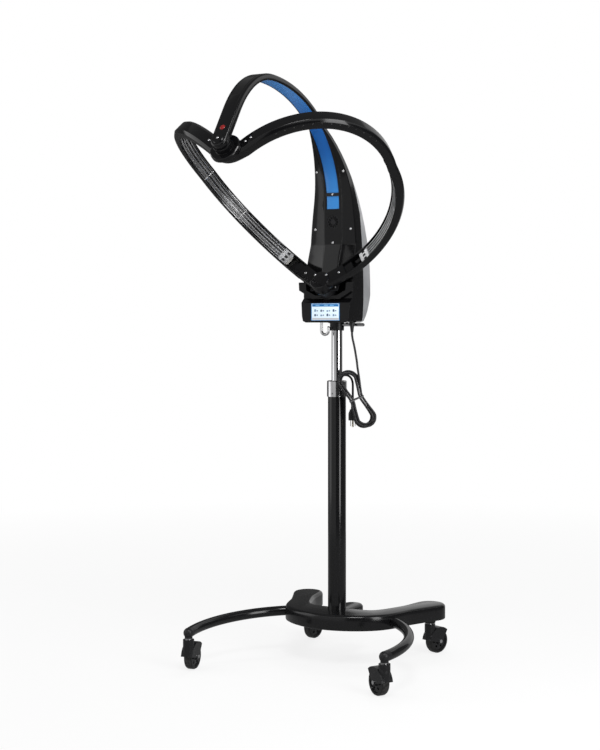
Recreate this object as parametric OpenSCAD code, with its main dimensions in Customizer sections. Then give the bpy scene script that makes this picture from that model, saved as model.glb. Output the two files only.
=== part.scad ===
/* [Stand] */
// Radius of the column's outer tube
column_r = 25; // [22:0.5:30]
// Wall of the column's outer tube
column_wall = 2; // [1.5:0.25:3]
// Height of the top of the outer tube above the floor
column_top = 727; // [660:1:780]
// Height of the top face of the base casting
base_top = 142; // [136:1:150]
// Thickness of the base casting
base_h = 42; // [36:1:46]
// Thickness of the casting's floor under the column
base_floor = 7; // [5:0.5:10]
// Height of the chrome sleeve above the outer tube
sleeve_h = 44; // [34:1:60]
// Radius of the chrome sleeve
sleeve_r = 27.5; // [26.5:0.5:32]

/* [Legs] */
// Radius of the curve that each front leg follows
leg_sweep_r = 298; // [270:1:330]
// How far the centre of that curve lies in front of the column
leg_centre_y = -235; // [-250:1:-215]
// Radius of the leg tube
leg_r = 13.5; // [12:0.5:15]
// Slope of the legs down toward the floor, degrees
leg_droop = 3.2; // [2.5:0.1:4]
// Height of the leg tube's centre at its root
leg_root_z = 119; // [116:0.5:122]

/* [Casters] */
// Radius of a caster wheel
wheel_r = 34; // [30:0.5:38]
// Width of a caster wheel
wheel_w = 22; // [18:1:26]
// Distance of the wheel's axle from the swivel axis
caster_trail = 26; // [20:1:32]
// Height of the shoulder on which the stand sits
caster_h = 87.5; // [84:0.5:92]
// Radius of the caster stem
stem_r = 5.5; // [4.5:0.25:6.5]

/* [Lift] */
// Radius of the chrome lift tube
lift_r = 15; // [13:0.5:17]
// Wall of the lift tube
lift_wall = 1.5; // [1.2:0.1:2]
// Underside of the head above the floor
head_z = 931; // [900:1:980]
// Length of the lift tube
lift_len = 430; // [380:1:450]
// Radius of the piston rod
rod_r = 5; // [4:0.5:6]
// Height of the piston above the floor
piston_z = 704; // [690:1:712]
// Radius of the release lever
lever_r = 4.5; // [3.5:0.25:5]
// Reach of the release lever from the column's axis
lever_reach = 84; // [70:1:100]

/* [Head] */
// Half width of the control box
box_half_w = 75; // [70:1:82]
// Front face of the control box, forward of the column
box_front = 68; // [64:1:74]
// Back of the rear cover, behind the column
box_back = 56; // [50:1:64]
// Wall of the housings
wall = 3; // [2.5:0.25:4]
// Front face of the spine, forward of the column
spine_front = 23; // [20:1:28]
// Half width of the screen glass
screen_half_w = 44; // [38:1:50]
// Height of the screen glass
screen_h = 47; // [40:1:50]

/* [Arch] */
// Reach of the arch behind its crown
arch_back = 360; // [340:1:380]
// Reach of the arch in front of its crown
arch_fore = 207; // [190:1:225]
// Rise of the arch above its spring line
arch_rise = 287; // [270:1:300]
// Depth of the arm across the arch
arm_depth = 17; // [15:0.5:20]
// Half width of the arm
arm_half_w = 22; // [20:0.5:26]
// Half width of the light strip
strip_half_w = 19; // [16:0.5:20]

/* [Ring] */
// Tilt of the ring's axis above level, degrees
axis_tilt = 33; // [30:0.5:36]
// Radius of each lobe of the ring
lobe_r = 279; // [260:1:290]
// Angle of each lobe from the back of the axis, degrees
lobe_angle = 58; // [54:1:64]
// Half width of the band
band_half_w = 21; // [18:0.5:24]
// Half depth of the band
band_half_d = 13; // [11:0.5:15]
// Wall of the band
band_wall = 3; // [2:0.25:4]
// Radius of the hub disc under the arm
hub_r = 40; // [34:1:46]
// Room along the ring's axis beyond its two lobes, for the hub and the yoke
ring_room = 57; // [50:0.5:66]

/* [Cord] */
// Diameter of the mains cord
cord_d = 6; // [5:0.5:7]
// Turns of the cord in the hank
hank_turns = 6; // [3:1:6]
// Length of the hank between its two folds
hank_run = 108; // [92:2:118]

/* [Hidden] */
$fn = 48;

fit = 0.05;        // radial gap of a shaft in its hole
seat = 0.15;       // gap between pieces that are fixed together
gap = 0.3;         // gap between pieces that move past each other
eps = 0.01;        // overlap of a cut past a face

black = "#1b1b1d";
blue = "#2f7fd0";
silver = "#c9ccd0";
grey = "#8b8f95";

// The base casting's arms are followed by round pucks: place and radius of each
base_bottom = base_top - base_h;
puck_end = [196, 188, 43];
puck_arm = [164, 98, 33];
puck_shoulder = [112, -4, 41];
puck_front = [0, -34, 58];
puck_edge = 7;
tongue_back = 122;
tongue_half_w = 30;
socket_r = 16;

// Legs
leg_end_angle = -12;
leg_root_angle = 57;
leg_wall = 2;
cap_turn = 2.8;
leg_len_y = leg_sweep_r * (sin(leg_root_angle) - sin(leg_end_angle));
leg_end = [leg_sweep_r * cos(leg_end_angle), leg_centre_y + leg_sweep_r * sin(leg_end_angle)];
leg_root_y = leg_centre_y + leg_sweep_r * sin(leg_root_angle);
leg_end_z = leg_root_z - (leg_root_y - leg_end[1]) * tan(leg_droop);

// Casters: place of the swivel axis and the way the wheel trails
caster_at = [[-leg_end[0], leg_end[1]], [leg_end[0], leg_end[1]],
             [-puck_end[0], puck_end[1]], [puck_end[0], puck_end[1]]];
caster_turn = [100, 148, 82, 69];
axle_r = 3;
fork_cheek = 4;
fork_gap = 1.5;
fork_half_w = wheel_w / 2 + fork_gap + fork_cheek;
hood_r = wheel_r + 3;
stem_top = caster_h + 24;

// Column and lift
column_bottom = base_bottom + base_floor;
bush_r = 19;
bush_depth = 24;
lift_top = head_z - 14;
lift_bottom = lift_top - lift_len;
barrel_r = lift_r - lift_wall - seat;
barrel_bore = barrel_r - 2.35;
barrel_end = 18;
pin_r = 2;
piston_h = 12;

// Hook and cord outlet under the box
hook_r = 4;
hook_bend = 11;
hook_at = [-34, -27];
cord_exit = [box_half_w - 21, -14];
relief_len = 26;
relief_nut_r = 8;
relief_neck_r = 6;

// Collar and lever
collar_r = 19.5;
collar_bottom = head_z - 22;
collar_neck_r = 14;
lever_z = head_z - 6;
lever_pivot_x = -13;
trunnion_r = 2;
pin_top = lever_z - lever_r - 0.1;

// Arch: an oval whose fore and aft halves have their own reach
pivot = [0, -box_front - 7, head_z + 97];
axis = [0, -cos(axis_tilt), sin(axis_tilt)];
arm_t = 2 * lobe_r + ring_room;
arch_y = -spine_front - arch_back;
arch_cut = 45;
arch_end = 180 - atan(tan(axis_tilt) * arch_rise / arch_fore);
// The spring line lies so high that the arm's inner face is arm_t from the lower pivot
arch_z = pivot[2] + (arm_t + (arch_y + arch_fore * cos(arch_end) - pivot[1]) * cos(axis_tilt))
    / sin(axis_tilt) - arch_rise * sin(arch_end);
function arch_reach(a) = a < 90 ? arch_back : arch_fore;
strip_depth = 2;
strip_low = arch_z - 11;
function unit(v) = v / norm(v);
function arch_pt(a, d) =
    let (r = arch_reach(a), n = unit([cos(a) / r, sin(a) / arch_rise]))
    [arch_y + r * cos(a) + d * n[0], arch_z + arch_rise * sin(a) + d * n[1]];
function arch_steps(from, to) =
    concat([from], [for (a = [ceil((from + 0.1) / 3) * 3:3:to - 0.1]) a], [to]);
function turned(v) = [for (i = [len(v) - 1:-1:0]) v[i]];
function span(a, b, n) = [for (i = [0:n]) a + (b - a) * i / n];
function bez(p, q, r, s, n) =
    [for (t = span(0, 1, n))
        p * pow(1 - t, 3) + 3 * q * t * pow(1 - t, 2) + 3 * r * t * t * (1 - t) + s * pow(t, 3)];

// Where the arm leaves the arch, behind the ring's axis
arm_foot = arch_pt(arch_end, 0);
arm_w = (arm_foot[0] - pivot[1]) * sin(axis_tilt) + (arm_foot[1] - pivot[2]) * cos(axis_tilt);
shaft_r = 5;
pivot_r = 6;
boss_r = 22;
ear_half = 42;
boss_depth = 62;
shaft_grip = 14;

// Lobe of the ring in its own half plane: distance from the axis and along it
lobe_mid = arm_t / 2 - 12;
lobe_off = 46;
shoulder = 0.1;
notch_soft = 40;
band_start = 78;
band_start_a = -acos((band_start - lobe_off) / lobe_r);
function lobe_swell(a) = a > 0 ? 1 + shoulder * sin(2 * a) : 1;
function lobe_pt(a) = [lobe_off + lobe_r * lobe_swell(a) * cos(a),
                       lobe_mid + lobe_r * lobe_swell(a) * sin(a)];
lobe_low = lobe_mid - lobe_r;
lobe_high = lobe_mid + lobe_r;
function fold_w(r) = cos(lobe_angle) * r * r / sqrt(r * r + notch_soft * notch_soft);
function on_lobe(side, q) = [side * q[0] * sin(lobe_angle), fold_w(q[0]), q[1]];
// Stations of a lobe between two angles: 90 is the notch at the arm, -90 the yoke
function lobe_run(side, from, to, n) =
    [for (a = span(from, to, n)) [on_lobe(side, lobe_pt(a)), a, side]];
function inward(station) =
    let (a = station[1], s = station[2])
    -cos(a) * [s * sin(lobe_angle), cos(lobe_angle), 0] - sin(a) * [0, 0, 1];

// Frames of a path: the way in toward the head and the way across the band
function tangent(p, i) =
    unit(p[min(i + 1, len(p) - 1)][0] - p[max(i - 1, 0)][0]);
function frame_at(p, i) =
    let (t = tangent(p, i), k = inward(p[i]), n = unit(k - (k * t) * t))
    [p[i][0], cross(t, n), n];

// Solid swept along a path: profile points are [across, inward]
module sweep(path, profile) {
    n = len(path);
    m = len(profile);
    pts = [for (i = [0:n - 1], q = profile)
        let (f = frame_at(path, i)) f[0] + q[0] * f[1] + q[1] * f[2]];
    sides = [for (i = [0:n - 2], j = [0:m - 1], h = [0, 1])
        let (a = i * m + j, b = i * m + (j + 1) % m)
        h == 0 ? [a, b, b + m] : [a, b + m, a + m]];
    polyhedron(pts, concat(sides, [[for (j = [m - 1:-1:0]) j]],
        [[for (j = [0:m - 1]) (n - 1) * m + j]]), convexity = 8);
}

// Round tube along plain points, with a steady sideways direction
function step_dir(p, i) = unit(p[min(i + 1, len(p) - 1)] - p[max(i - 1, 0)]);
module tube(p, r, sides, side_dir) {
    n = len(p);
    pts = [for (i = [0:n - 1], k = [0:sides - 1])
        let (t = step_dir(p, i), u = unit(side_dir - (side_dir * t) * t), v = cross(t, u),
             a = 360 * (k + 0.5) / sides)
        p[i] + r * cos(a) * u + r * sin(a) * v];
    faces = [for (i = [0:n - 2], k = [0:sides - 1], h = [0, 1])
        let (a = i * sides + k, b = i * sides + (k + 1) % sides)
        h == 0 ? [a, b + sides, b] : [a, a + sides, b + sides]];
    polyhedron(pts, concat(faces, [[for (k = [0:sides - 1]) k]],
        [[for (k = [sides - 1:-1:0]) (n - 1) * sides + k]]), convexity = 10);
}

// Local frame of the ring: x to the side, y to the back, z along the axis
module ring_frame() {
    translate(pivot) rotate([90 - axis_tilt, 0, 0]) children();
}

// Profile in the side view, [y, z], pulled out along x
module side_view(pts, half_w) {
    rotate([90, 0, 90]) linear_extrude(2 * half_w, center = true) polygon(pts);
}
module front_view(pts, y0, y1) {
    translate([0, y1, 0]) rotate([90, 0, 0]) linear_extrude(y1 - y0) polygon(pts);
}

// STAND

module puck(p, z0, z1) {
    translate([p[0], p[1], z0]) cylinder(z1 - z0 - puck_edge, r = p[2], $fn = 32);
    translate([p[0], p[1], z1 - puck_edge - eps])
        cylinder(puck_edge + eps, p[2], p[2] - puck_edge, $fn = 32);
}
function flip(p) = [-p[0], p[1], p[2]];
module base_arm(p, q) {
    hull() {
        puck(p, base_bottom, base_top);
        puck(q, base_bottom, base_top);
    }
}
module leg_path(r, from, to) {
    translate([0, leg_root_y, leg_root_z])
        rotate([leg_droop, 0, 0]) translate([0, leg_centre_y - leg_root_y, 0])
        rotate([0, 0, from]) rotate_extrude(angle = to - from, convexity = 4)
        translate([leg_sweep_r, 0]) circle(r);
}
module base_casting() {
    color(black) difference() {
        union() {
            base_arm(puck_end, puck_arm);
            base_arm(puck_arm, puck_shoulder);
            base_arm(puck_shoulder, puck_front);
            base_arm(puck_front, flip(puck_shoulder));
            base_arm(flip(puck_shoulder), flip(puck_arm));
            base_arm(flip(puck_arm), flip(puck_end));
            translate([-tongue_half_w, -20, base_bottom])
                cube([2 * tongue_half_w, tongue_back - 30 + 20, base_h - 2]);
            translate([0, tongue_back - 30, base_bottom])
                cylinder(base_h - 2, r = tongue_half_w);
            for (i = [2, 3]) translate([caster_at[i][0], caster_at[i][1], caster_h])
                cylinder(base_bottom - caster_h + 5, r = socket_r);
        }
        translate([0, 0, column_bottom]) cylinder(base_h, r = column_r + fit);
        for (i = [2, 3]) translate([caster_at[i][0], caster_at[i][1], caster_h - 1])
            cylinder(stem_top - caster_h + 2, r = stem_r + fit);
        for (s = [0, 1]) mirror([s, 0, 0]) leg_path(leg_r + seat, leg_end_angle, leg_root_angle + 1);
        for (a = [30:120:270]) rotate([0, 0, a]) translate([14, 0, base_bottom - 1]) {
            cylinder(base_floor + 2, r = 3.3);
            cylinder(4.2, r = 6.2);
        }
    }
}
module leg() {
    color(black) difference() {
        leg_path(leg_r, leg_end_angle + cap_turn, leg_root_angle);
        leg_path(leg_r - leg_wall, leg_end_angle, leg_root_angle + 0.2);
    }
}
module left_leg() mirror([1, 0, 0]) leg();
module right_leg() leg();
// Plugs that close the leg ends and hold the caster stems
module leg_end_caps() {
    color(black) for (s = [0, 1]) mirror([s, 0, 0]) difference() {
        union() {
            translate([leg_end[0], leg_end[1], leg_end_z]) sphere(leg_r + 0.4);
            leg_path(leg_r, leg_end_angle, leg_end_angle + cap_turn);
            leg_path(leg_r - leg_wall - seat, leg_end_angle, leg_end_angle + 2 * cap_turn);
            translate([leg_end[0], leg_end[1], caster_h])
                cylinder(leg_end_z - caster_h, r = leg_r - 3);
        }
        translate([leg_end[0], leg_end[1], caster_h - 1])
            cylinder(stem_top - caster_h + 2, r = stem_r + fit);
    }
}
module column_tube() {
    color(black) translate([0, 0, column_bottom]) difference() {
        cylinder(column_top - column_bottom, r = column_r);
        translate([0, 0, -1]) cylinder(column_top - column_bottom + 2, r = column_r - column_wall);
    }
}
module chrome_sleeve() {
    color(silver) difference() {
        union() {
            translate([0, 0, column_top]) cylinder(sleeve_h - 2, r = sleeve_r);
            translate([0, 0, column_top + sleeve_h - 2]) cylinder(2, sleeve_r, sleeve_r - 2);
            translate([0, 0, column_top - bush_depth])
                cylinder(bush_depth, r = column_r - column_wall - seat);
        }
        translate([0, 0, column_top - bush_depth - 1]) cylinder(bush_depth + sleeve_h - 2, r = bush_r);
        translate([0, 0, column_top]) cylinder(sleeve_h + 1, r = lift_r + 1);
        translate([0, -sleeve_r - 1, column_top + 9]) rotate([-90, 0, 0])
            cylinder(sleeve_r - bush_r, r = 2);
    }
}
module guide_bush() {
    color("white") difference() {
        translate([0, 0, column_top - bush_depth])
            cylinder(bush_depth + sleeve_h - 3 - seat, r = bush_r - fit);
        translate([0, 0, column_top - bush_depth - 1])
            cylinder(bush_depth + sleeve_h, r = lift_r + fit);
    }
}
module piston_rod() {
    color(silver) difference() {
        union() {
            translate([0, 0, column_bottom]) cylinder(9, r = column_r - column_wall - seat);
            translate([0, 0, column_bottom]) cylinder(piston_z - column_bottom, r = rod_r);
            translate([0, 0, piston_z]) cylinder(piston_h, r = barrel_bore - fit);
        }
        for (a = [30:120:270]) rotate([0, 0, a]) translate([14, 0, column_bottom - 1])
            cylinder(8, r = 3 + fit);
    }
}
module base_screws() {
    color(silver) for (a = [30:120:270]) rotate([0, 0, a]) translate([14, 0, 0]) difference() {
        union() {
            translate([0, 0, base_bottom]) cylinder(3.1, r = 6);
            translate([0, 0, base_bottom]) cylinder(base_floor + 6.5, r = 3);
        }
        translate([0, 0, base_bottom - 1]) cylinder(3, r = 2.5, $fn = 6);
    }
}

// CASTERS

// Puts a caster, drawn at the origin with its wheel trailing to +x, in its place
module caster(i) {
    translate([caster_at[i][0], caster_at[i][1], 0]) rotate([0, 0, caster_turn[i]]) children();
}
module caster_fork(i) {
    wheel_space = wheel_r + 2.5;
    color(black) caster(i) difference() {
        union() {
            rotate([90, 0, 0]) linear_extrude(2 * fork_half_w, center = true)
                translate([caster_trail, wheel_r]) polygon(concat(
                    [for (a = span(190, 350, 8)) 9 * [cos(a), sin(a)]],
                    [for (a = span(48, 172, 16)) (hood_r + 3) * [cos(a), sin(a)]]));
            translate([0, 0, wheel_r + 8]) cylinder(caster_h - 3 - wheel_r - 8, r = 15);
        }
        translate([caster_trail, 0, wheel_r]) rotate([90, 0, 0])
            cylinder(wheel_w + 2 * fork_gap, r = wheel_space, center = true);
        translate([caster_trail, 0, wheel_r]) rotate([90, 0, 0])
            cylinder(3 * fork_half_w, r = axle_r + fit, center = true);
        cylinder(caster_h, r = stem_r + fit);
    }
}
module caster_wheel(i) {
    color(black) caster(i) translate([caster_trail, 0, wheel_r]) rotate([90, 0, 0]) difference() {
        rotate_extrude($fn = 64) polygon([
            [axle_r + fit, -wheel_w / 2 - fork_gap + gap], [9, -wheel_w / 2 - fork_gap + gap],
            [10, -wheel_w / 2 + 2], [wheel_r - 9, -wheel_w / 2 + 4], [wheel_r - 7, -wheel_w / 2],
            [wheel_r - 2, -wheel_w / 2], [wheel_r, -wheel_w / 2 + 4],
            [wheel_r, wheel_w / 2 - 4], [wheel_r - 2, wheel_w / 2],
            [wheel_r - 7, wheel_w / 2], [wheel_r - 9, wheel_w / 2 - 4], [10, wheel_w / 2 - 2],
            [9, wheel_w / 2 + fork_gap - gap], [axle_r + fit, wheel_w / 2 + fork_gap - gap]]);
        for (a = [0:60:300]) rotate([0, 0, a]) translate([17, 0, 0])
            cylinder(wheel_w, r = 3.6, center = true);
    }
}
// Steel stem with its collar, and the axle with its two heads
module caster_pins(i) {
    color(silver) caster(i) {
        difference() {
            union() {
                translate([0, 0, caster_h - 12]) cylinder(stem_top - caster_h + 12, r = stem_r);
                translate([0, 0, caster_h - 3 + eps]) cylinder(3 - 2 * eps, r = 9.5);
            }
            translate([caster_trail, 0, wheel_r]) rotate([90, 0, 0])
                cylinder(wheel_w + 2 * fork_gap, r = wheel_r + 2.5, center = true);
        }
        translate([caster_trail, 0, wheel_r]) rotate([90, 0, 0]) {
            cylinder(2 * fork_half_w + 1, r = axle_r, center = true);
            for (s = [-1, 1]) translate([0, 0, s * (fork_half_w + 1.3)])
                cylinder(2.4, r = 5, center = true);
        }
    }
}

// LIFT

module lift_tube() {
    color(silver) translate([0, 0, lift_bottom]) difference() {
        cylinder(lift_len, r = lift_r);
        translate([0, 0, -1]) cylinder(lift_len + 2, r = lift_r - lift_wall);
    }
}
module gas_barrel() {
    color(grey) difference() {
        translate([0, 0, lift_bottom + 2]) cylinder(lift_len - 8, r = barrel_r);
        translate([0, 0, lift_bottom + 2 + barrel_end])
            cylinder(lift_len - 8 - 2 * barrel_end, r = barrel_bore);
        translate([0, 0, lift_bottom]) cylinder(barrel_end + 4, r = rod_r + fit);
        translate([0, 0, lift_top - 6 - barrel_end - 1]) cylinder(barrel_end + 2, r = pin_r + fit);
    }
}
module valve_pin() {
    color(silver) translate([0, 0, lift_top - 6 - barrel_end])
        cylinder(pin_top - lift_top + 6 + barrel_end, r = pin_r);
}
module release_lever() {
    color(silver) {
        translate([lever_pivot_x - 4, 0, lever_z]) rotate([0, 90, 0])
            cylinder(lever_reach - lever_pivot_x + 4 - 2, r = lever_r);
        translate([lever_reach - 2, 0, lever_z]) rotate([0, 90, 0])
            cylinder(2, lever_r, lever_r - 1.5);
        translate([lever_pivot_x, 0, lever_z]) rotate([90, 0, 0])
            cylinder(2 * 10, r = trunnion_r, center = true);
    }
}

// HEAD

module head_collar() {
    slot_w = 2 * lever_r + 1.4;
    color(black) difference() {
        union() {
            translate([0, 0, collar_bottom]) cylinder(head_z - collar_bottom, r = collar_r);
            translate([0, 0, head_z]) cylinder(wall + 4, r = collar_neck_r);
        }
        translate([0, 0, collar_bottom - 1]) cylinder(lift_top - collar_bottom + 1, r = lift_r + fit);
        translate([0, 0, lift_top - 1]) cylinder(6, r = pin_r + 3);
        translate([lever_pivot_x - 5.2, -slot_w / 2, lever_z - lever_r - 0.5])
            cube([60, slot_w, 2 * lever_r + 1]);
        translate([lever_pivot_x + 4, -slot_w / 2, lever_z - lever_r - 4.6])
            cube([60, slot_w, 2 * lever_r + 4]);
        translate([lever_pivot_x, 0, lever_z]) rotate([90, 0, 0])
            cylinder(2 * 10.4, r = trunnion_r + fit, center = true);
    }
}
// Steel bracket: foot over the collar and an upright that carries the boards
bracket_y = 15;
bracket_top = head_z + 262;
plate_y = -24;
foot_screw_x = [-28, 28];
foot_screw_y = 6;
plate_low = head_z + 46;
plate_top = head_z + 122;
module mount_bracket() {
    color(silver) difference() {
        union() {
            translate([-38, -34, head_z + wall]) cube([76, bracket_y + 34 + 3, 4]);
            translate([-38, bracket_y, head_z + wall]) cube([76, 3, bracket_top - head_z - wall]);
            for (s = [-1, 1]) translate([s * 36.5 - 1.5, plate_y + 4, head_z + wall])
                cube([3, bracket_y - plate_y - 4 + eps, plate_top - head_z - wall]);
        }
        translate([0, 0, head_z]) cylinder(20, r = collar_neck_r + fit);
        for (x = foot_screw_x) translate([x, foot_screw_y, head_z]) cylinder(12, r = 2 + fit);
        translate([-16, bracket_y - 1, head_z + 60]) cube([32, 6, 130]);
    }
}

// Outline of the head seen from the side; d pulls it in by a wall
apron_z = head_z + 118;
chin_z = head_z + 66;
spine_low = arch_z - 109;
back_foot = [arch_pt(arch_cut, arm_depth), [-28, arch_z + 145], [box_back, arch_z - 23],
             [box_back, head_z + 112]];
function front_line(d) = concat(
    [[-50 + d, apron_z], [-spine_front + d, spine_low]],
    [for (a = arch_steps(0, arch_cut)) arch_pt(a, d)]);
function back_line(d) = [for (p = bez(back_foot[0], back_foot[1], back_foot[2], back_foot[3], 14))
    p - [d, 0]];
function side_outline(d) = concat(
    [[-box_front + d, head_z + d], [-box_front + d, head_z + 54], [-54 + d, chin_z],
     [-54 + d, apron_z - 4]],
    front_line(d), back_line(d),
    [[box_back - d, head_z + 76], [box_back - 14 - d, head_z + 34], [box_back - 34 - d, head_z + d]]);
// Half outline seen from the front, [x, z]
function half_front(d) = concat(
    [[box_half_w - 14 - d, head_z + d], [box_half_w - 5 - d, head_z + 4 + d],
     [box_half_w - 2 - d, head_z + 18]],
    bez([box_half_w - d, head_z + 62], [box_half_w + 1 - d, arch_z - 53],
        [box_half_w * 2 / 3 - d, arch_z + 117], [arm_half_w - d, arch_z + 197], 14),
    [[arm_half_w - d, arch_z + 377]]);
function mirror_pts(p) = [for (i = [len(p) - 1:-1:0]) [-p[i][0], p[i][1]]];
module head_solid(d) {
    intersection() {
        side_view(side_outline(d), box_half_w + 20);
        front_view(concat(half_front(d), mirror_pts(half_front(d))), -500, 200);
    }
}
module head_shell() {
    difference() {
        head_solid(0);
        head_solid(wall);
    }
}
function front_y(z) =
    z < spine_low ? -50 + (50 - spine_front) * (z - apron_z) / (spine_low - apron_z)
    : z < arch_z ? -spine_front
    : arch_y + arch_back * sqrt(1 - pow((z - arch_z) / arch_rise, 2));
function front_normal(z) =
    z < spine_low ? unit([0, apron_z - spine_low, 50 - spine_front])
    : z < arch_z ? [0, -1, 0]
    : let (a = asin((z - arch_z) / arch_rise)) -unit([0, cos(a) / arch_back, sin(a) / arch_rise]);
// Puts a screw, drawn along +z with its head below the origin, square into the front
module into_front(p) {
    n = front_normal(p[2]);
    translate(p) rotate([atan2(n[1], -n[2]), 0, 0]) children();
}
panel_screw_at = [for (q = [[-41, arch_z + 89], [41, arch_z + 89], [20 - box_half_w, arch_z - 67],
    [box_half_w - 20, arch_z - 67], [0, arch_z - 104], [0, head_z + 135]]) [q[0], front_y(q[1]), q[1]]];
clip_screw_at = [0, arch_pt(5.7, 0)[0], arch_pt(5.7, 0)[1]];
clip_screw_r = 1.2;
vent_r = 18.5;
vent_z = arch_z - 47;

// The front panel's zone and the rear cover's zone, cut from the shell
module panel_zone(d) {
    side_view(concat([[-120, apron_z - 2], [-50 + wall + d, apron_z - 2]],
        front_line(wall + d), [arch_pt(arch_cut + 2, wall + d), [-220, arch_z + 246]]),
        box_half_w + 25);
}
split_y = 14;
module rear_zone(d) {
    side_view([[split_y - d, head_z - 5], [split_y - d, arch_z - 23], [-14 - d, arch_z + 97],
        [-60 - d, arch_z + 157], [-60, arch_z + 217], [100, arch_z + 217], [100, head_z - 5]],
        box_half_w + 25);
}
module bay_cut(half_w, y0, y1, d) {
    front_view([[-36 - d, head_z + 70 - d], [36 + d, head_z + 70 - d],
        [half_w - 6 + d, head_z + 88], [half_w - 4 + d, apron_z + d], [-half_w + 4 - d, apron_z + d],
        [-half_w + 6 - d, head_z + 88]], y0, y1);
}
screen_z = head_z + 5.5;
module screen_window(d, y0, y1) {
    translate([-screen_half_w - d, y0, screen_z - d])
        cube([2 * screen_half_w + 2 * d, y1 - y0, screen_h + 2 * d]);
}
module main_housing() {
    color(black) difference() {
        head_shell();
        panel_zone(0);
        rear_zone(0);
        bay_cut(box_half_w - 2, -100, -20, 0);
        pivot_passage();
        screen_window(-3, -100, -50);
        screen_window(seat, -100, -box_front + 2);
        translate([0, 0, head_z - 1]) cylinder(wall + 2, r = collar_neck_r + fit);
        for (x = foot_screw_x) translate([x, foot_screw_y, head_z - 1]) cylinder(wall + 2, r = 2 + fit);
        translate([cord_exit[0], cord_exit[1], head_z - 1]) cylinder(wall + 2, r = relief_neck_r + fit);
        translate([hook_at[0], hook_at[1], head_z - 1]) cylinder(wall + 2, r = hook_r + fit);
    }
}
module front_panel() {
    color(black) difference() {
        intersection() {
            head_shell();
            panel_zone(-seat);
        }
        // Channel for the light strip
        arm_region(-5, strip_depth + seat, strip_half_w + 0.2, 0, arch_cut + 3);
        translate([-strip_half_w - 0.2, -spine_front - 5, strip_low - 1])
            cube([2 * strip_half_w + 0.4, 5 + strip_depth + seat, arch_z - strip_low + 1 + eps]);
        // Vent
        translate([0, -spine_front - 5, vent_z]) rotate([-90, 0, 0]) cylinder(12, r = vent_r + fit);
        for (p = panel_screw_at) into_front(p) translate([0, 0, -5]) cylinder(20, r = 1.65 + fit);
        clip_screw_hole();
    }
}
// Hole of the screw that holds the clip and the strip on the panel
module clip_screw_hole() {
    into_front(clip_screw_at) translate([0, 0, -6]) cylinder(20, r = clip_screw_r + fit);
}
module rear_cover() {
    color(grey) difference() {
        intersection() {
            head_shell();
            rear_zone(-seat);
        }
        // Louvres in the back
        for (i = [0:5]) translate([-30, box_back - 12, head_z + 110 + 9 * i]) cube([60, 20, 4]);
    }
}
// Octagonal tray round the lower pivot
tray_front = 62;
module bay_tray() {
    color(black) difference() {
        union() {
            bay_cut(box_half_w - 2, -tray_front, -24, -seat);
            intersection() {
                bay_cut(box_half_w + 8, -tray_front - 4, -tray_front + 1, 6);
                translate([-100, -100, head_z + 40]) cube([200, 100, 70]);
            }
        }
        bay_cut(box_half_w - 5, -100, -28, -4);
        translate([-100, -100, apron_z - 8]) cube([200, 100, 40]);
        pivot_passage();
    }
}
module pivot_passage() {
    ring_frame() translate([0, 0, -boss_depth - 40]) cylinder(boss_depth + 60, r = boss_r + seat);
}
// Boss that carries the ring's lower bearing, with two ears and a plate on the bracket
module pivot_plate() {
    color(black) difference() {
        union() {
            ring_frame() translate([0, 0, -boss_depth]) cylinder(boss_depth - gap, r = boss_r);
            ring_frame() translate([-ear_half, -9, -7]) cube([2 * ear_half, 18, 4.8]);
            translate([-38, plate_y, plate_low]) cube([76, 4, plate_top - plate_low]);
        }
        ring_frame() translate([0, 0, -boss_depth - 1]) cylinder(boss_depth + 2, r = shaft_r + fit);
        ring_frame() translate([0, 0, -boss_depth - 40]) cylinder(40, r = boss_r + 2);
    }
}
module screen_glass() {
    color(silver) screen_window(-seat, -box_front, -box_front + 2 - seat);
}
// Display board behind the glass and power board on the upright
module circuit_boards() {
    color("green") {
        translate([-45, -box_front + wall + 3, head_z + 4]) cube([90, 1.6, 50]);
        translate([-40, -box_front + wall + eps, head_z + 9]) cube([80, 3, 40]);
        translate([-34, bracket_y + 7, head_z + 122]) cube([68, 1.6, 116]);
        for (x = [-28, 28], z = [128, 228]) translate([x, bracket_y + 3, head_z + z])
            rotate([-90, 0, 0]) cylinder(4 + eps, r = 2.5);
        translate([-26, bracket_y + 8.6 - eps, head_z + 132]) cube([30, 12, 36]);
        translate([8, bracket_y + 8.6 - eps, head_z + 136]) cube([18, 10, 26]);
        for (x = [-18, 0, 18]) translate([x, bracket_y + 8.6 - eps, head_z + 200])
            rotate([-90, 0, 0]) cylinder(11, r = 6);
    }
}
module vent_grille() {
    color(black) translate([0, -spine_front, vent_z]) rotate([-90, 0, 0]) difference() {
        cylinder(wall, r = vent_r);
        for (a = [0:30:330]) rotate([0, 0, a]) linear_extrude(3 * wall, center = true)
            polygon([[7, -0.9], [15, -2.4], [15.8, -1.6], [15.8, 1.6], [15, 2.4], [7, 0.9]]);
    }
}
fan_half = 20;
module fan_frame() {
    color(black) translate([0, -spine_front + wall + seat, vent_z]) rotate([-90, 0, 0]) difference() {
        union() {
            difference() {
                translate([-fan_half, -fan_half, 0]) cube([2 * fan_half, 2 * fan_half, 10]);
                translate([0, 0, -1]) cylinder(12, r = fan_half - 1.5);
            }
            translate([0, 0, 8]) cylinder(2, r = 8);
            for (a = [45:90:315]) rotate([0, 0, a]) translate([5, -1.5, 8.2]) cube([fan_half - 2, 3, 1.5]);
        }
        translate([0, 0, 5]) cylinder(6, r = 1.5 + fit);
    }
}
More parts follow.
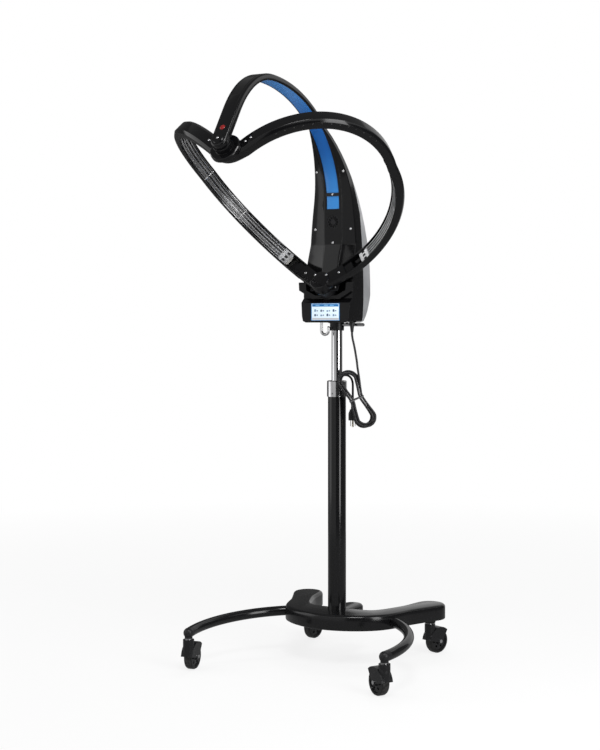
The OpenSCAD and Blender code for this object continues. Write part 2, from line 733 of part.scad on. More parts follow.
module fan_rotor() {
    color(black) translate([0, -spine_front + wall + seat, vent_z]) rotate([-90, 0, 0]) {
        translate([0, 0, 1]) cylinder(6.6, r = 8);
        translate([0, 0, 7]) cylinder(2.5, r = 1.5);
        for (a = [0:360 / 7:359]) rotate([0, 0, a]) translate([7, 0, 4.3]) rotate([35, 0, 0])
            translate([0, -3, -0.6]) cube([10.6, 6, 1.2]);
    }
}
module light_strip() {
    color(blue) difference() {
        light_strip_body();
        clip_screw_hole();
    }
}
module light_strip_body() {
    union() {
        arm_region(0, strip_depth, strip_half_w, 0, arch_end - 1);
        translate([-strip_half_w, -spine_front, strip_low])
            cube([2 * strip_half_w, strip_depth, arch_z - strip_low + eps]);
    }
}
// Bar across the strip, with a foot at each side of it
clip_t = 2;
clip_from = 4.8;
clip_to = 6.6;
module strip_clip() {
    clip_half_w = strip_half_w + 2.5;
    color(black) difference() {
        union() {
            arm_region(-seat - clip_t, -seat, clip_half_w, clip_from, clip_to);
            for (s = [-1, 1]) intersection() {
                arm_region(-seat - clip_t, -0.14, clip_half_w, clip_from, clip_to);
                translate([s * clip_half_w, -spine_front, arch_z + 29]) cube([4.2, 20, 20], center = true);
            }
        }
        clip_screw_hole();
    }
}
module arm_region(d0, d1, half_w, from, to) {
    steps = arch_steps(from, to);
    side_view(concat([for (a = steps) arch_pt(a, d0)], [for (a = turned(steps)) arch_pt(a, d1)]), half_w);
}
module arm_end(d0, d1, half_w) {
    ring_frame() translate([0, 0, arm_t + d0]) {
        cylinder(d1 - d0, r = half_w);
        translate([-half_w, 0, 0]) cube([2 * half_w, arm_w + 0.4, d1 - d0]);
    }
}
module arm_shell() {
    color(black) difference() {
        union() {
            arm_region(0, arm_depth, arm_half_w, arch_cut, arch_end);
            arm_end(0, arm_depth, arm_half_w);
        }
        arm_region(-1, 5, strip_half_w + 0.4, arch_cut - 3, arch_end - 0.5);
        arm_region(4.9, arm_depth - wall, arm_half_w - 4.4, arch_cut - 3, arch_end - 2);
        ring_frame() translate([0, 0, arm_t - 1]) cylinder(arm_depth + 2, r = pivot_r + seat / 3);
        ring_frame() translate([0, 34, arm_t + arm_depth - 4]) cylinder(6, r = 7 + fit);
    }
}
module arm_cover() {
    color(black) arm_region(strip_depth + seat, 5 - seat, strip_half_w, arch_cut + 0.1, arch_end - 1);
}
// Pin fixed in the arm's end on which the hub turns, with its round cap
module pivot_pin() {
    color(black) ring_frame() {
        translate([0, 0, arm_t - 24]) cylinder(24 + arm_depth + eps, r = pivot_r);
        translate([0, 0, arm_t + arm_depth]) cylinder(3, 15, 13.5);
    }
}
module sensor_lens() {
    color("darkred") ring_frame() translate([0, 34, arm_t + arm_depth - 4]) {
        cylinder(4, r = 7);
        translate([0, 0, 4]) cylinder(2.5, 7, 4);
    }
}
motor_r = 21;
motor_len = 27;
module gear_motor() {
    color(silver) ring_frame() translate([0, 0, -boss_depth]) mirror([0, 0, 1]) difference() {
        union() {
            cylinder(shaft_grip + 2, r = motor_r);
            translate([0, 0, shaft_grip]) cylinder(motor_len - shaft_grip, r = motor_r - 4);
        }
        translate([0, 0, -1]) cylinder(shaft_grip + 1.5, r = shaft_r + fit);
    }
}
// Chrome J hook under the box
module cord_hook() {
    color(silver) translate([hook_at[0], hook_at[1], 0]) {
        translate([0, 0, head_z - 22]) cylinder(22 + wall, r = hook_r);
        translate([hook_bend, 0, head_z - 22]) rotate([90, 0, 0]) rotate([0, 0, 180])
            rotate_extrude(angle = 180) translate([hook_bend, 0]) circle(hook_r);
        translate([2 * hook_bend, 0, head_z - 22]) cylinder(8, r = hook_r);
        translate([2 * hook_bend, 0, head_z - 14]) sphere(hook_r);
    }
}
// Tapered strain relief with its nut
module cord_gland() {
    color(black) translate([cord_exit[0], cord_exit[1], 0]) {
        translate([0, 0, head_z - 7]) cylinder(7, r = relief_nut_r);
        translate([0, 0, head_z - eps]) cylinder(wall + 3, r = relief_neck_r);
        translate([0, 0, head_z - relief_len])
            cylinder(relief_len - 7 + eps, cord_d / 2 + 0.8, relief_neck_r);
    }
}

// CORD

// The cord hangs from its outlet and enters the tied hank at hank_in
cord_fall = [[0, 0, -26], [0, 0, -32], [1.5, 0, -43], [5.5, -1, -57], [10, -2.5, -73], [14, -4.5, -89],
             [18, -6.5, -105], [21, -8.5, -121], [24, -10, -134], [26.5, -10.5, -147],
             [28.5, -10.5, -160], [30, -10, -173], [31.5, -9, -185]];
cord_outlet = [cord_exit[0], cord_exit[1], head_z];
cord_route = [for (p = cord_fall) cord_outlet + p];
hank_in = cord_outlet + [35, -7, -201];
hank_lean = 24;
hank_face = 28;
hank_right = [cos(hank_face) * cos(hank_lean), sin(hank_face) * cos(hank_lean), sin(hank_lean)];
hank_up = [-cos(hank_face) * sin(hank_lean), -sin(hank_face) * sin(hank_lean), cos(hank_lean)];
hank_out = cross(hank_right, hank_up);
hank_fold = 3 * cord_d;
hank_pitch = cord_d + 1;
hank_layers = 4;
hank_waist = 10;
hank_splay = 4;
rings_per_turn = 24;
rings_per_layer = rings_per_turn * hank_turns / hank_layers;
hank_growth = hank_pitch * hank_turns / hank_layers;
hank_front = hank_pitch * (hank_layers - 1) / 2;
tail_depth = hank_front + cord_d + 8.2;

// Where a ring lies round a loop of radius r, [across, along]
function loop_at(k, r) = let (h = hank_run / 2)
    k <= 2 ? [r, -k * h / 2]
    : k < 10 ? [r * cos((k - 2) * 22.5), -h - r * sin((k - 2) * 22.5)]
    : k <= 14 ? [-r, (k - 12) * h / 2]
    : k < 22 ? [-r * cos((k - 14) * 22.5), h + r * sin((k - 14) * 22.5)]
    : [r, (24 - k) * h / 2];
// The runs are drawn in at the tie, and the layers spread apart below it
function drawn(q, w) =
    let (h = hank_run / 2,
         in = abs(q[1]) < h ? hank_waist * (1 + cos(180 * q[1] / h)) / 2 : 0,
         low = q[1] < 0 ? hank_splay * pow(q[1] / (h + hank_fold), 2) * w / hank_front : 0)
    [q[0] - sign(q[0]) * in + low, q[1], w];
function ring_radius(k) =
    let (layer = floor(k / rings_per_layer), p = k / rings_per_layer - layer)
    hank_fold + hank_growth * (layer % 2 == 0 ? 1 - p : p);
function ring_depth(k) =
    let (layer = floor(k / rings_per_layer), into = k - layer * rings_per_layer)
    hank_front - hank_pitch * (layer == 0 ? 0 : layer - 1 + min(into / 2, 1));
last_ring = rings_per_turn * hank_turns - rings_per_turn / 2;
hank_loops = [for (k = [0:last_ring])
    drawn(loop_at(k % rings_per_turn, ring_radius(k)), ring_depth(k))];
// The tail goes over the last fold behind the loops and hangs straight down to the plug
tail_x = -ring_radius(last_ring);
tail_bend = 40;
tail_straight = 45;
tail_turn_at = [tail_x + 2 * hank_fold - tail_bend * (1 - cos(hank_lean)),
                hank_run / 2 - tail_bend * sin(hank_lean)];
hank_tail = concat(
    [for (i = [1, 2]) drawn([tail_x, i * hank_run / 4], -hank_front - i * (cord_d + 0.6) / 2)],
    [for (a = span(22.5, 180, 7)) [tail_x + hank_fold * (1 - cos(a)), hank_run / 2 + hank_fold * sin(a),
        -hank_front - cord_d - 0.6 - 3 * a / 180]],
    [for (a = span(hank_lean / 2, hank_lean, 1)) [tail_x + 2 * hank_fold - tail_bend * (1 - cos(a)),
        hank_run / 2 - tail_bend * sin(a), -hank_front - cord_d - 3.6 - a / 9]],
    [for (d = [15, 30, tail_straight - cord_d, tail_straight]) [tail_turn_at[0] - d * sin(hank_lean),
        tail_turn_at[1] - d * cos(hank_lean), d < 20 ? -tail_depth + 1 : -tail_depth]]);
hank_local = concat(hank_loops, hank_tail);
hank_mid = hank_in - hank_local[0][0] * hank_right - hank_local[0][2] * hank_out;
function hank_pt(q) = hank_mid + q[0] * hank_right + q[1] * hank_up + q[2] * hank_out;
hank_path = [for (q = hank_local) hank_pt(q)];
plug_in = hank_path[len(hank_path) - 1];
cord_path = concat(cord_route, [hank_in + cord_d * hank_up, hank_in]);

function path_len(p) =
    [for (i = [1:len(p) - 1]) norm(p[i] - p[i - 1])] * [for (i = [1:len(p) - 1]) 1];
function to_line(p, a, b) =
    let (t = max(0, min(1, (p - a) * (b - a) / ((b - a) * (b - a))))) norm(p - a - t * (b - a));
function gaps(p) = [for (i = [0:len(p) - 1], j = [0:len(p) - 2])
    if (abs(i - j) > 5) [to_line(p[i], p[j], p[j + 1]) - cord_d, i, j]];
function least_gap(p) = min([for (g = gaps(p)) g[0]]);
echo(least_gap = least_gap(hank_path), cord_length = path_len(cord_path) + path_len(hank_path));  // cord_hank

module power_cord() color(black) tube(cord_path, cord_d / 2, 10, [0, 1, 0]);
module cord_hank() color(black) tube(hank_path, cord_d / 2, 6, hank_out);
// Paper-covered wire twisted round the waist of the hank
tie_w = 3.5;
tie_t = 1.2;
module tie_outline(r) {
    hull() for (q = [[hank_loops[0][0], hank_front], [hank_loops[12][0], hank_front],
            [hank_loops[0][0], -hank_front], [hank_loops[12][0], -hank_front],
            [tail_turn_at[0] - tail_turn_at[1] * tan(hank_lean), -tail_depth]])
        translate(q) circle(r, $fn = 20);
}
module cord_tie() {
    color(grey) multmatrix([[hank_right[0], hank_out[0], hank_up[0], hank_mid[0]],
                            [hank_right[1], hank_out[1], hank_up[1], hank_mid[1]],
                            [hank_right[2], hank_out[2], hank_up[2], hank_mid[2]]])
        translate([0, 0, -tie_w / 2]) linear_extrude(tie_w) difference() {
            tie_outline(cord_d / 2 + gap + tie_t);
            tie_outline(cord_d / 2 + gap);
        }
}
// Moulded plug with its tapered relief, hanging from the tail
plug_relief = 22;
plug_len = 30;
module mains_plug() {
    color(black) translate(plug_in) rotate([0, 0, hank_face]) {
        translate([0, 0, -plug_relief]) cylinder(plug_relief, cord_d / 2 + 2.5, cord_d / 2 + 0.8);
        translate([0, 0, -plug_relief - plug_len]) hull() {
            translate([0, 0, plug_len - 1]) cylinder(1, r = 7.5, $fn = 32);
            for (x = [-7, 7], y = [-5, 5]) translate([x, y, 0]) cylinder(plug_len - 12, r = 5, $fn = 24);
        }
        for (s = [-1, 1]) translate([s * 6.35 - 0.75, -1 - 3.2, -plug_relief - plug_len - 16])
            cube([1.5, 6.4, 17]);
        translate([0, 7, -plug_relief - plug_len - 19]) cylinder(20, r = 2.4);
    }
}

// RING

lobe_stations = 26;
function flat_run(t, a, from, to, n) =
    [for (r = span(from, to, n)) [on_lobe(sign(r), [abs(r), t]), a, r < 0 ? -1 : 1]];
shell_step = (90 - band_start_a) / lobe_stations;
function moved(station, v) = [station[0] + v, station[1], station[2]];
function start_dir(side) = tangent(lobe_run(side, band_start_a, band_start_a + shell_step, 1), 0);
function half_shell(side) = let (p = lobe_run(side, band_start_a, 90, lobe_stations))
    concat([moved(p[0], (0.5 + seat) * start_dir(side))], [for (i = [1:lobe_stations]) p[i]]);
function shell_path() = concat(half_shell(1),
    flat_run(lobe_high, 90, lobe_off * 0.75, -lobe_off * 0.75, 6), turned(half_shell(-1)));
// Screws through the channel into the hub disc, two on each side of the pivot
hub_screw_at = [for (side = [-1, 1], q = [-8, 8])
    let (p = on_lobe(side, [27, 0]), d = unit(on_lobe(side, [28, 0]) - on_lobe(side, [26, 0])))
    [p[0] - q * d[1], p[1] + q * d[0]]];
// Screws on the back of the channel beside the hub disc, which hold the reflectors
lobe_screw_at = [for (side = [-1, 1], r = [54, 70])
    on_lobe(side, [r, lobe_pt(acos((r - lobe_off) / lobe_r))[1]])];
// Channel with chamfered back, [across, inward]
function channel(w, d, back, bevel) =
    [[-w, d], [-w, -back + bevel], [-w + bevel, -back], [w - bevel, -back], [w, -back + bevel], [w, d]];
function channel_wall(w, d, back, bevel, t) = concat(channel(w, d, back, bevel),
    [for (i = [5:-1:0]) channel(w - t, d, back - t, bevel - t / 3)[i]]);
module ring_shell() {
    color(black) ring_frame() difference() {
        sweep(shell_path(), channel_wall(band_half_w, band_half_d, band_half_d, 6, band_wall));
        for (p = hub_screw_at) translate([p[0], p[1], lobe_high]) cylinder(20, r = 2 + fit);
        for (p = lobe_screw_at) translate(p) cylinder(20, r = 1.6 + fit);
    }
}
// Hub and two arms whose tongues enter the ends of the channel
yoke_low = 0.5;
yoke_hub_r = 28;
function yoke_path(side) = concat(
    [for (r = span(12, lobe_off, 4)) [on_lobe(side, [r, lobe_low]), -90, side]],
    [for (i = [1:4]) lobe_run(side, -90 + i * (band_start_a + 90) / 4, 90, 1)[0]],
    [moved(lobe_run(side, band_start_a, 90, 1)[0], 0.5 * start_dir(side))]);
// The tongue follows the first straight stretch of the channel and starts inside the arm
function tongue_path(side) = let (p = lobe_run(side, band_start_a, band_start_a + shell_step, 1))
    [moved(p[0], -3 * start_dir(side)), p[1]];
module ring_yoke() {
    color(black) ring_frame() difference() {
        union() {
            translate([0, 0, yoke_low]) cylinder(lobe_low + band_half_d + 4 - yoke_low, r = yoke_hub_r);
            for (side = [-1, 1]) {
                sweep(yoke_path(side), channel(band_half_w - 1, band_half_d, band_half_d, 6));
                sweep(tongue_path(side), channel(band_half_w - band_wall - seat, band_half_d - 6,
                    band_half_d - band_wall - seat, 4.8));
            }
        }
        translate([0, 0, -1]) cylinder(lobe_low + band_half_d - 1, r = shaft_r + fit);
    }
}
module hub_disc() {
    color(black) ring_frame() difference() {
        union() {
            translate([0, 0, lobe_high + band_half_d]) cylinder(12, r = hub_r);
            translate([0, 0, lobe_high + band_half_d])
                cylinder(arm_t - lobe_high - band_half_d - gap, r = 24);
        }
        translate([0, 0, arm_t - 25]) cylinder(40, r = pivot_r + fit);
        for (p = hub_screw_at) translate([p[0], p[1], lobe_high]) cylinder(22, r = 2 + fit);
    }
}
heat_angle = 70;
module reflector() {
    w = band_half_w - band_wall - 0.8;
    color(silver) ring_frame() for (side = [-1, 1])
        sweep(lobe_run(side, -heat_angle, heat_angle, 20), [
            [-w, 8], [-w, -2.2], [-9, -8.6], [9, -8.6], [w, -2.2], [w, 8],
            [w - 1, 8], [w - 1, -1.8], [8.6, -7.6], [-8.6, -7.6], [1 - w, -1.8], [1 - w, 8]]);
}
quartz_r = 4;
quartz_at = 7;
function along(side, from, to, n, q) = let (run = lobe_run(side, from, to, n))
    [for (i = [0:n]) let (f = frame_at(run, i)) f[0] + q[0] * f[1] + q[1] * f[2]];
module heater_tubes() {
    color("white") ring_frame() for (side = [-1, 1], x = [-quartz_at, quartz_at])
        tube(along(side, -heat_angle + 2.6, heat_angle - 2.6, 20, [x, 0]), quartz_r, 8, [0, 0, 1]);
}
// Ceramic blocks in which the ends of the quartz tubes sit
module tube_holders() {
    w = band_half_w - band_wall - 3;
    color("white") ring_frame() for (side = [-1, 1], e = [-1, 1])
        sweep(lobe_run(side, e * (heat_angle - 2.5), e * (heat_angle + 2), 2),
            [[-w, 7], [-w, -1], [-8, -6.5], [8, -6.5], [w, -1], [w, 7]]);
}
wire_r = 1;
wire_at = [-12, -4, 4, 12];
wire_in = 10.6;
module wire_guard() {
    color(silver) ring_frame() for (side = [-1, 1]) {
        for (x = wire_at)
            tube(along(side, -heat_angle, heat_angle, 20, [x, wire_in]), wire_r, 5, [0, 0, 1]);
        for (a = [-heat_angle + 1, -35, 0, 35, heat_angle - 1]) {
            ends = [for (x = [-1, 1]) let (f = frame_at(lobe_run(side, a - 1, a + 1, 2), 1))
                f[0] + x * (band_half_w - band_wall - 0.2) * f[1] + (wire_in - 1.2) * f[2]];
            tube(ends, wire_r, 6, [0, 0, 1]);
        }
    }
}
module ring_screws() {
    color(silver) ring_frame() for (p = hub_screw_at)
        translate([p[0], p[1], 0]) {
            translate([0, 0, lobe_high + band_half_d - band_wall - 1.8]) cylinder(1.8, r = 3.6);
            translate([0, 0, lobe_high + band_half_d - band_wall - eps]) cylinder(band_wall + 8, r = 2);
        }
    color(silver) ring_frame() for (p = lobe_screw_at) translate(p) {
        translate([0, 0, band_half_d + 0.3]) cylinder(1.6, r = 3.2);
        translate([0, 0, band_half_d - band_wall - 2]) cylinder(band_wall + 2.4, r = 1.6);
    }
}
module drive_shaft() {
    color(silver) ring_frame() translate([0, 0, -boss_depth - shaft_grip])
        cylinder(boss_depth + shaft_grip + lobe_low + 8, r = shaft_r);
}
// Screws of the head: panel, strip clip, pivot plate and bracket
module head_screws() {
    color(silver) {
        for (p = panel_screw_at) into_front(p) {
            translate([0, 0, -1.75]) cylinder(1.6, r = 3.4);
            translate([0, 0, -0.2]) cylinder(9.2, r = 1.65);
        }
        into_front(clip_screw_at) {
            translate([0, 0, -clip_t - seat - 1.7]) cylinder(1.5, r = 3);
            translate([0, 0, -clip_t - seat - 0.3]) cylinder(8, r = clip_screw_r);
        }
        for (s = [-1, 1]) ring_frame() translate([s * 33, 0, -2.2]) cylinder(1.5, r = 3.2);
        for (x = foot_screw_x) translate([x, foot_screw_y, head_z - 1.8]) {
            cylinder(1.8, r = 4);
            cylinder(12, r = 2);
        }
    }
}

// Each node is drawn by its own line
base_casting();
left_leg();
right_leg();
leg_end_caps();
column_tube();
chrome_sleeve();
guide_bush();
piston_rod();
base_screws();
lift_tube();
gas_barrel();
valve_pin();
release_lever();
head_collar();
mount_bracket();
main_housing();
front_panel();
rear_cover();
bay_tray();
pivot_plate();
screen_glass();
circuit_boards();
vent_grille();
fan_frame();
fan_rotor();
light_strip();
strip_clip();
arm_shell();
arm_cover();
pivot_pin();
sensor_lens();
gear_motor();
cord_hook();
cord_gland();
power_cord();
cord_hank();
cord_tie();
mains_plug();
head_screws();
ring_shell();
ring_yoke();
hub_disc();
reflector();
heater_tubes();
tube_holders();
wire_guard();
ring_screws();
drive_shaft();
caster_fork(0);  // caster_fl_fork
caster_wheel(0);  // caster_fl_wheel
caster_pins(0);  // caster_fl_pins
caster_fork(1);  // caster_fr_fork
caster_wheel(1);  // caster_fr_wheel
caster_pins(1);  // caster_fr_pins
caster_fork(2);  // caster_rl_fork
caster_wheel(2);  // caster_rl_wheel
caster_pins(2);  // caster_rl_pins
caster_fork(3);  // caster_rr_fork
caster_wheel(3);  // caster_rr_wheel
caster_pins(3);  // caster_rr_pins
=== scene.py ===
from math import (
    acos, asin, atan, atan2, copysign, cos, degrees, hypot, pi, radians, sin, sqrt, tan, tau,
)

import bmesh
import bpy
from mathutils import Matrix, Vector


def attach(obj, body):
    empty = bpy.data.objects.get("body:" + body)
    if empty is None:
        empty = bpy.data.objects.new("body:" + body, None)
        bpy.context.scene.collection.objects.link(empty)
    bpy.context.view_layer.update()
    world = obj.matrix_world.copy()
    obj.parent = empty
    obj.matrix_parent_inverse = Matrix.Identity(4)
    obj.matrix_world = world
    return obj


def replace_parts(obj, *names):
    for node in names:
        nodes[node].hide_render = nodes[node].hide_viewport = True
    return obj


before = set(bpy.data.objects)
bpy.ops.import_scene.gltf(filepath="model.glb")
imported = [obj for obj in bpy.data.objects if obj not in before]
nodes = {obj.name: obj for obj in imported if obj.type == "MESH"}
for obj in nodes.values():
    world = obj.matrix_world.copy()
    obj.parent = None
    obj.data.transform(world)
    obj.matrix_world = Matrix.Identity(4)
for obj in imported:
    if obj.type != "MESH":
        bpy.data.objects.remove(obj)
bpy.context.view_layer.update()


# Camera: a long lens to the right of the machine's front, level with the screen's lower edge.
# The small shift keeps the column left of the picture's middle and the casters above its foot.
def placed(name, data):
    """A new object in the scene, made of data."""
    made = bpy.data.objects.new(name, data)
    bpy.context.scene.collection.objects.link(made)
    return made


view_turn = radians(28)
view_reach, view_height = 3.983, 0.938
picture_height = 750
long_lens = bpy.data.cameras.new("long_lens")
long_lens.lens = 69.26
long_lens.shift_x = -37 / picture_height
long_lens.shift_y = -55 / picture_height
camera = placed("camera", long_lens)
camera.location = (view_reach * sin(view_turn), -view_reach * cos(view_turn), view_height)
camera.rotation_euler = (pi / 2, 0, view_turn)
bpy.context.scene.camera = camera


# Mains cord: 2.35 m of round black rubber flex, 6 mm thick. It hangs from a tapered relief under
# the box, and what is left of it is wound into six turns and tied at the waist with covered wire.
class Term:
    """A value in a finish's nodes, on which plain arithmetic works."""

    def __init__(self, finish, socket):
        self.finish = finish
        self.socket = socket

    def maths(self, operation, *terms, clamp=False):
        return self.finish.node(
            "ShaderNodeMath", {"operation": operation, "use_clamp": clamp}, dict(enumerate(terms))
        )

    def __add__(self, other):
        return self.maths("ADD", self, other)

    __radd__ = __add__

    def __sub__(self, other):
        return self.maths("SUBTRACT", self, other)

    def __rsub__(self, other):
        return self.maths("SUBTRACT", other, self)

    def __mul__(self, other):
        return self.maths("MULTIPLY", self, other)

    __rmul__ = __mul__

    def __pow__(self, other):
        return self.maths("POWER", self, other)

    def above(self, low, high):
        """0 below low, 1 above high, and straight in between."""
        return self.maths("MULTIPLY", self - low, 1 / (high - low), clamp=True)

    def blend(self, first, second):
        """first where the value is 0 and second where it is 1."""
        settings = {"data_type": "RGBA", "clamp_factor": True}
        return self.finish.node("ShaderNodeMix", settings, {0: self, 6: first, 7: second}, 2)


class Finish:
    """One material, built up from its nodes."""

    def __init__(self, name):
        self.material = bpy.data.materials.new(name)
        self.material.use_nodes = True
        self.tree = self.material.node_tree
        self.shader = self.tree.nodes["Principled BSDF"]
        self.place = self.node("ShaderNodeTexCoord", {}, {}, 3)

    def node(self, kind, settings, inputs, output=0):
        made = self.tree.nodes.new(kind)
        for key, value in settings.items():
            setattr(made, key, value)
        for key, value in inputs.items():
            self.feed(made.inputs[key], value)
        return Term(self, made.outputs[output])

    def feed(self, socket, value):
        if isinstance(value, Term):
            self.tree.links.new(value.socket, socket)
        elif isinstance(value, tuple) and len(value) == 3 and len(socket.default_value) == 4:
            socket.default_value = (*value, 1)
        else:
            socket.default_value = value

    def vector(self, operation, first, second, output=0):
        settings = {"operation": operation}
        return self.node("ShaderNodeVectorMath", settings, {0: first, 1: second}, output)

    def noise(self, scale, detail=2.0, stretch=None):
        place = self.vector("MULTIPLY", self.place, stretch) if stretch else self.place
        return self.node(
            "ShaderNodeTexNoise", {}, {"Vector": place, "Scale": scale, "Detail": detail}
        )

    def axis(self, index):
        """How far along x, y or z the point lies, in metres."""
        return self.node("ShaderNodeSeparateXYZ", {}, {0: self.place}, index)

    def bump(self, height, depth, strength=1.0):
        return self.node(
            "ShaderNodeBump", {}, {"Height": height, "Distance": depth, "Strength": strength}
        )

    def surface(self, **sockets):
        """Feeds the shader's sockets, whose names have _ for a space."""
        for name, value in sockets.items():
            self.feed(self.shader.inputs[name.replace("_", " ")], value)
        return self


def cord_rubber():
    made = Finish("cord_rubber")
    scuff = made.noise(160, 4).above(0.45, 0.8)
    return made.surface(
        Base_Color=scuff.blend((0.011, 0.011, 0.012), (0.03, 0.03, 0.032)),
        Roughness=0.36 + 0.2 * scuff,
        Normal=made.bump(made.noise(2200, 2), 0.0002, 0.35),
        Specular_IOR_Level=0.4,
    )


def smooth_line(points, steps):
    """Points of a soft curve through the given ones."""
    ends = [2 * points[0] - points[1], *points, 2 * points[-1] - points[-2]]
    line = []
    for i in range(1, len(ends) - 2):
        p, q, r, s = ends[i - 1 : i + 3]
        second, third = 2 * p - 5 * q + 4 * r - s, 3 * q - p - 3 * r + s
        for t in (k / steps for k in range(steps)):
            line.append(0.5 * (2 * q + (r - p) * t + second * t * t + third * t**3))
    return [*line, points[-1]]


def round_line(name, points, radius, finish, body, sides=4):
    """A round rod or cord along points, as a curve."""
    curve = bpy.data.curves.new(name, "CURVE")
    curve.dimensions = "3D"
    curve.bevel_depth = radius
    curve.bevel_resolution = sides
    curve.use_fill_caps = True
    spline = curve.splines.new("POLY")
    spline.points.add(len(points) - 1)
    for target, p in zip(spline.points, points):
        target.co = (*p, 1)
    spline.use_smooth = True
    curve.materials.append(finish.material)
    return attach(placed(name, curve), body)


cord_d = 6
cord_route = [
    (54, -14, 905), (54, -14, 899), (55.5, -14, 888), (59.5, -15, 874), (64, -16.5, 858),
    (68, -18.5, 842), (72, -20.5, 826), (75, -22.5, 810), (78, -24, 797), (80.5, -24.5, 784),
    (82.5, -24.5, 771), (84, -24, 758), (85.5, -23, 746),
]
hank_in = Vector((89, -21, 730))
hank_run, hank_turns, hank_layers = 108, 6, 4
hank_fold, hank_pitch, hank_waist, hank_splay = 18, 7, 10, 4
hank_lean, hank_face = radians(24), radians(28)
up, hank_level = Vector((0, 0, 1)), Vector((cos(hank_face), sin(hank_face), 0))
hank_right = cos(hank_lean) * hank_level + sin(hank_lean) * up
hank_up = cos(hank_lean) * up - sin(hank_lean) * hank_level
hank_out = hank_right.cross(hank_up)
hank_front = hank_pitch * (hank_layers - 1) / 2
fold_step = radians(22.5)
loop_points = 24
layer_points = loop_points * hank_turns // hank_layers


def loop_at(k, r):
    """Point k of a loop of the hank, with straight sides r from its middle and round folds."""
    half = hank_run / 2
    if k <= 2:
        return r, -k * half / 2
    if k < 10:
        turn = (k - 2) * fold_step
        return r * cos(turn), -half - r * sin(turn)
    if k <= 14:
        return -r, (k - 12) * half / 2
    if k < 22:
        turn = (k - 14) * fold_step
        return -r * cos(turn), half + r * sin(turn)
    return r, (loop_points - k) * half / 2


def drawn_in(x, y, w):
    """A point of the hank, drawn in by the tie at the waist and splayed at its lower end."""
    half = hank_run / 2
    waist = hank_waist * (1 + cos(pi * y / half)) / 2 if abs(y) < half else 0
    low = hank_splay * (y / (half + hank_fold)) ** 2 * w / hank_front if y < 0 else 0
    return Vector((x - copysign(waist, x) + low, y, w))


def loop_radius(k):
    layer, part = divmod(k / layer_points, 1)
    growth = hank_pitch * hank_turns / hank_layers
    return hank_fold + growth * (1 - part if layer % 2 == 0 else part)


def loop_depth(k):
    layer = k // layer_points
    into = k - layer * layer_points
    return hank_front - hank_pitch * (0 if layer == 0 else layer - 1 + min(into / 2, 1))


last_point = loop_points * hank_turns - 12
wound = []
for k in range(last_point + 1):
    wound.append(drawn_in(*loop_at(k % loop_points, loop_radius(k)), loop_depth(k)))
tail_gap, tail_sink, tail_bend = 0.6, 3, 40
tail_x = -loop_radius(last_point)
tail_back = hank_front + cord_d + tail_gap
for i in (1, 2):
    wound.append(drawn_in(tail_x, i * hank_run / 4, -hank_front - i * (cord_d + tail_gap) / 2))
for a in (fold_step * i for i in range(1, 9)):
    wound.append(Vector((
        tail_x + hank_fold * (1 - cos(a)),
        hank_run / 2 + hank_fold * sin(a),
        -tail_back - tail_sink * a / pi,
    )))
for a in (hank_lean / 2, hank_lean):
    wound.append(Vector((
        tail_x + 2 * hank_fold - tail_bend * (1 - cos(a)),
        hank_run / 2 - tail_bend * sin(a),
        -tail_back - tail_sink - degrees(a) / 9,
    )))
tail_way = Vector((-sin(hank_lean), -cos(hank_lean)))
tail_turn = wound[-1].xy
for d, sunk in ((15, 6.6), (30, 7.6), (39, 7.6), (45, 7.6)):
    wound.append(Vector((*(tail_turn + d * tail_way), -tail_back - sunk)))
hank_mid = hank_in - wound[0].x * hank_right - wound[0].z * hank_out
hank = [hank_mid + q.x * hank_right + q.y * hank_up + q.z * hank_out for q in wound]
route = [Vector(p) for p in cord_route] + [hank_in + cord_d * hank_up]
cord_line = [p * 0.001 for p in smooth_line(route + hank[:1], 3)[:-1] + smooth_line(hank, 3)]
rubber = cord_rubber()
cord = round_line("mains_cord", cord_line, cord_d / 2000, rubber, "head", 3)
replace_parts(cord, "power_cord", "cord_hank")


def dress(node, finish, edge=0.0, angle=32):
    """A CAD node in its real finish, its sharp edges eased as a mould or a file leaves them."""
    piece = nodes[node]
    if "custom_normal" in piece.data.attributes:
        piece.data.attributes.remove(piece.data.attributes["custom_normal"])
    piece.data.polygons.foreach_set("use_smooth", [True] * len(piece.data.polygons))
    piece.modifiers.new("weld", "WELD").merge_threshold = 0.00001
    if edge:
        ease = piece.modifiers.new("ease", "BEVEL")
        ease.width = edge
        ease.segments = 2
        ease.limit_method = "ANGLE"
        ease.angle_limit = radians(angle)
        ease.harden_normals = True
    else:
        split = piece.modifiers.new("split", "EDGE_SPLIT")
        split.split_angle = radians(angle)
    piece.data.materials.clear()
    piece.data.materials.append(finish.material)


# Plug, cord relief and tie: the plug and the tapered relief are moulded in the same black rubber as
# the cord's skin. The plug's blades are bare nickelled brass, and the tie is a paper-covered wire.
def plug_rubber():
    made = Finish("plug_rubber")
    blade = 1 - made.axis(2).above(0.6625, 0.6627)
    grain = made.noise(900, 3)
    return made.surface(
        Base_Color=blade.blend((0.013, 0.013, 0.014), (0.62, 0.57, 0.46)),
        Metallic=blade,
        Roughness=0.42 + 0.12 * grain - 0.2 * blade,
        Normal=made.bump(grain, 0.0002, 0.3),
        Specular_IOR_Level=0.35,
    )


def grained(name, size, first, second, rough, more, relief=None, **constant):
    """A finish of one grain, which takes its colour between two and adds to its roughness."""
    made = Finish(name)
    grain = made.noise(*size)
    if relief:
        made.surface(Normal=made.bump(grain, *relief))
    return made.surface(
        Base_Color=grain.blend(first, second), Roughness=rough + more * grain, **constant
    )


wire_paper = grained(
    "covered_wire", (700, 3, (1, 1, 0.3)), (0.05, 0.05, 0.052), (0.13, 0.13, 0.135), 0.55, 0.2,
    (0.0003, 0.5),
)
dress("mains_plug", plug_rubber(), 0.0009)
dress("cord_gland", rubber, 0.0005)
dress("cord_tie", wire_paper, 0.0003)


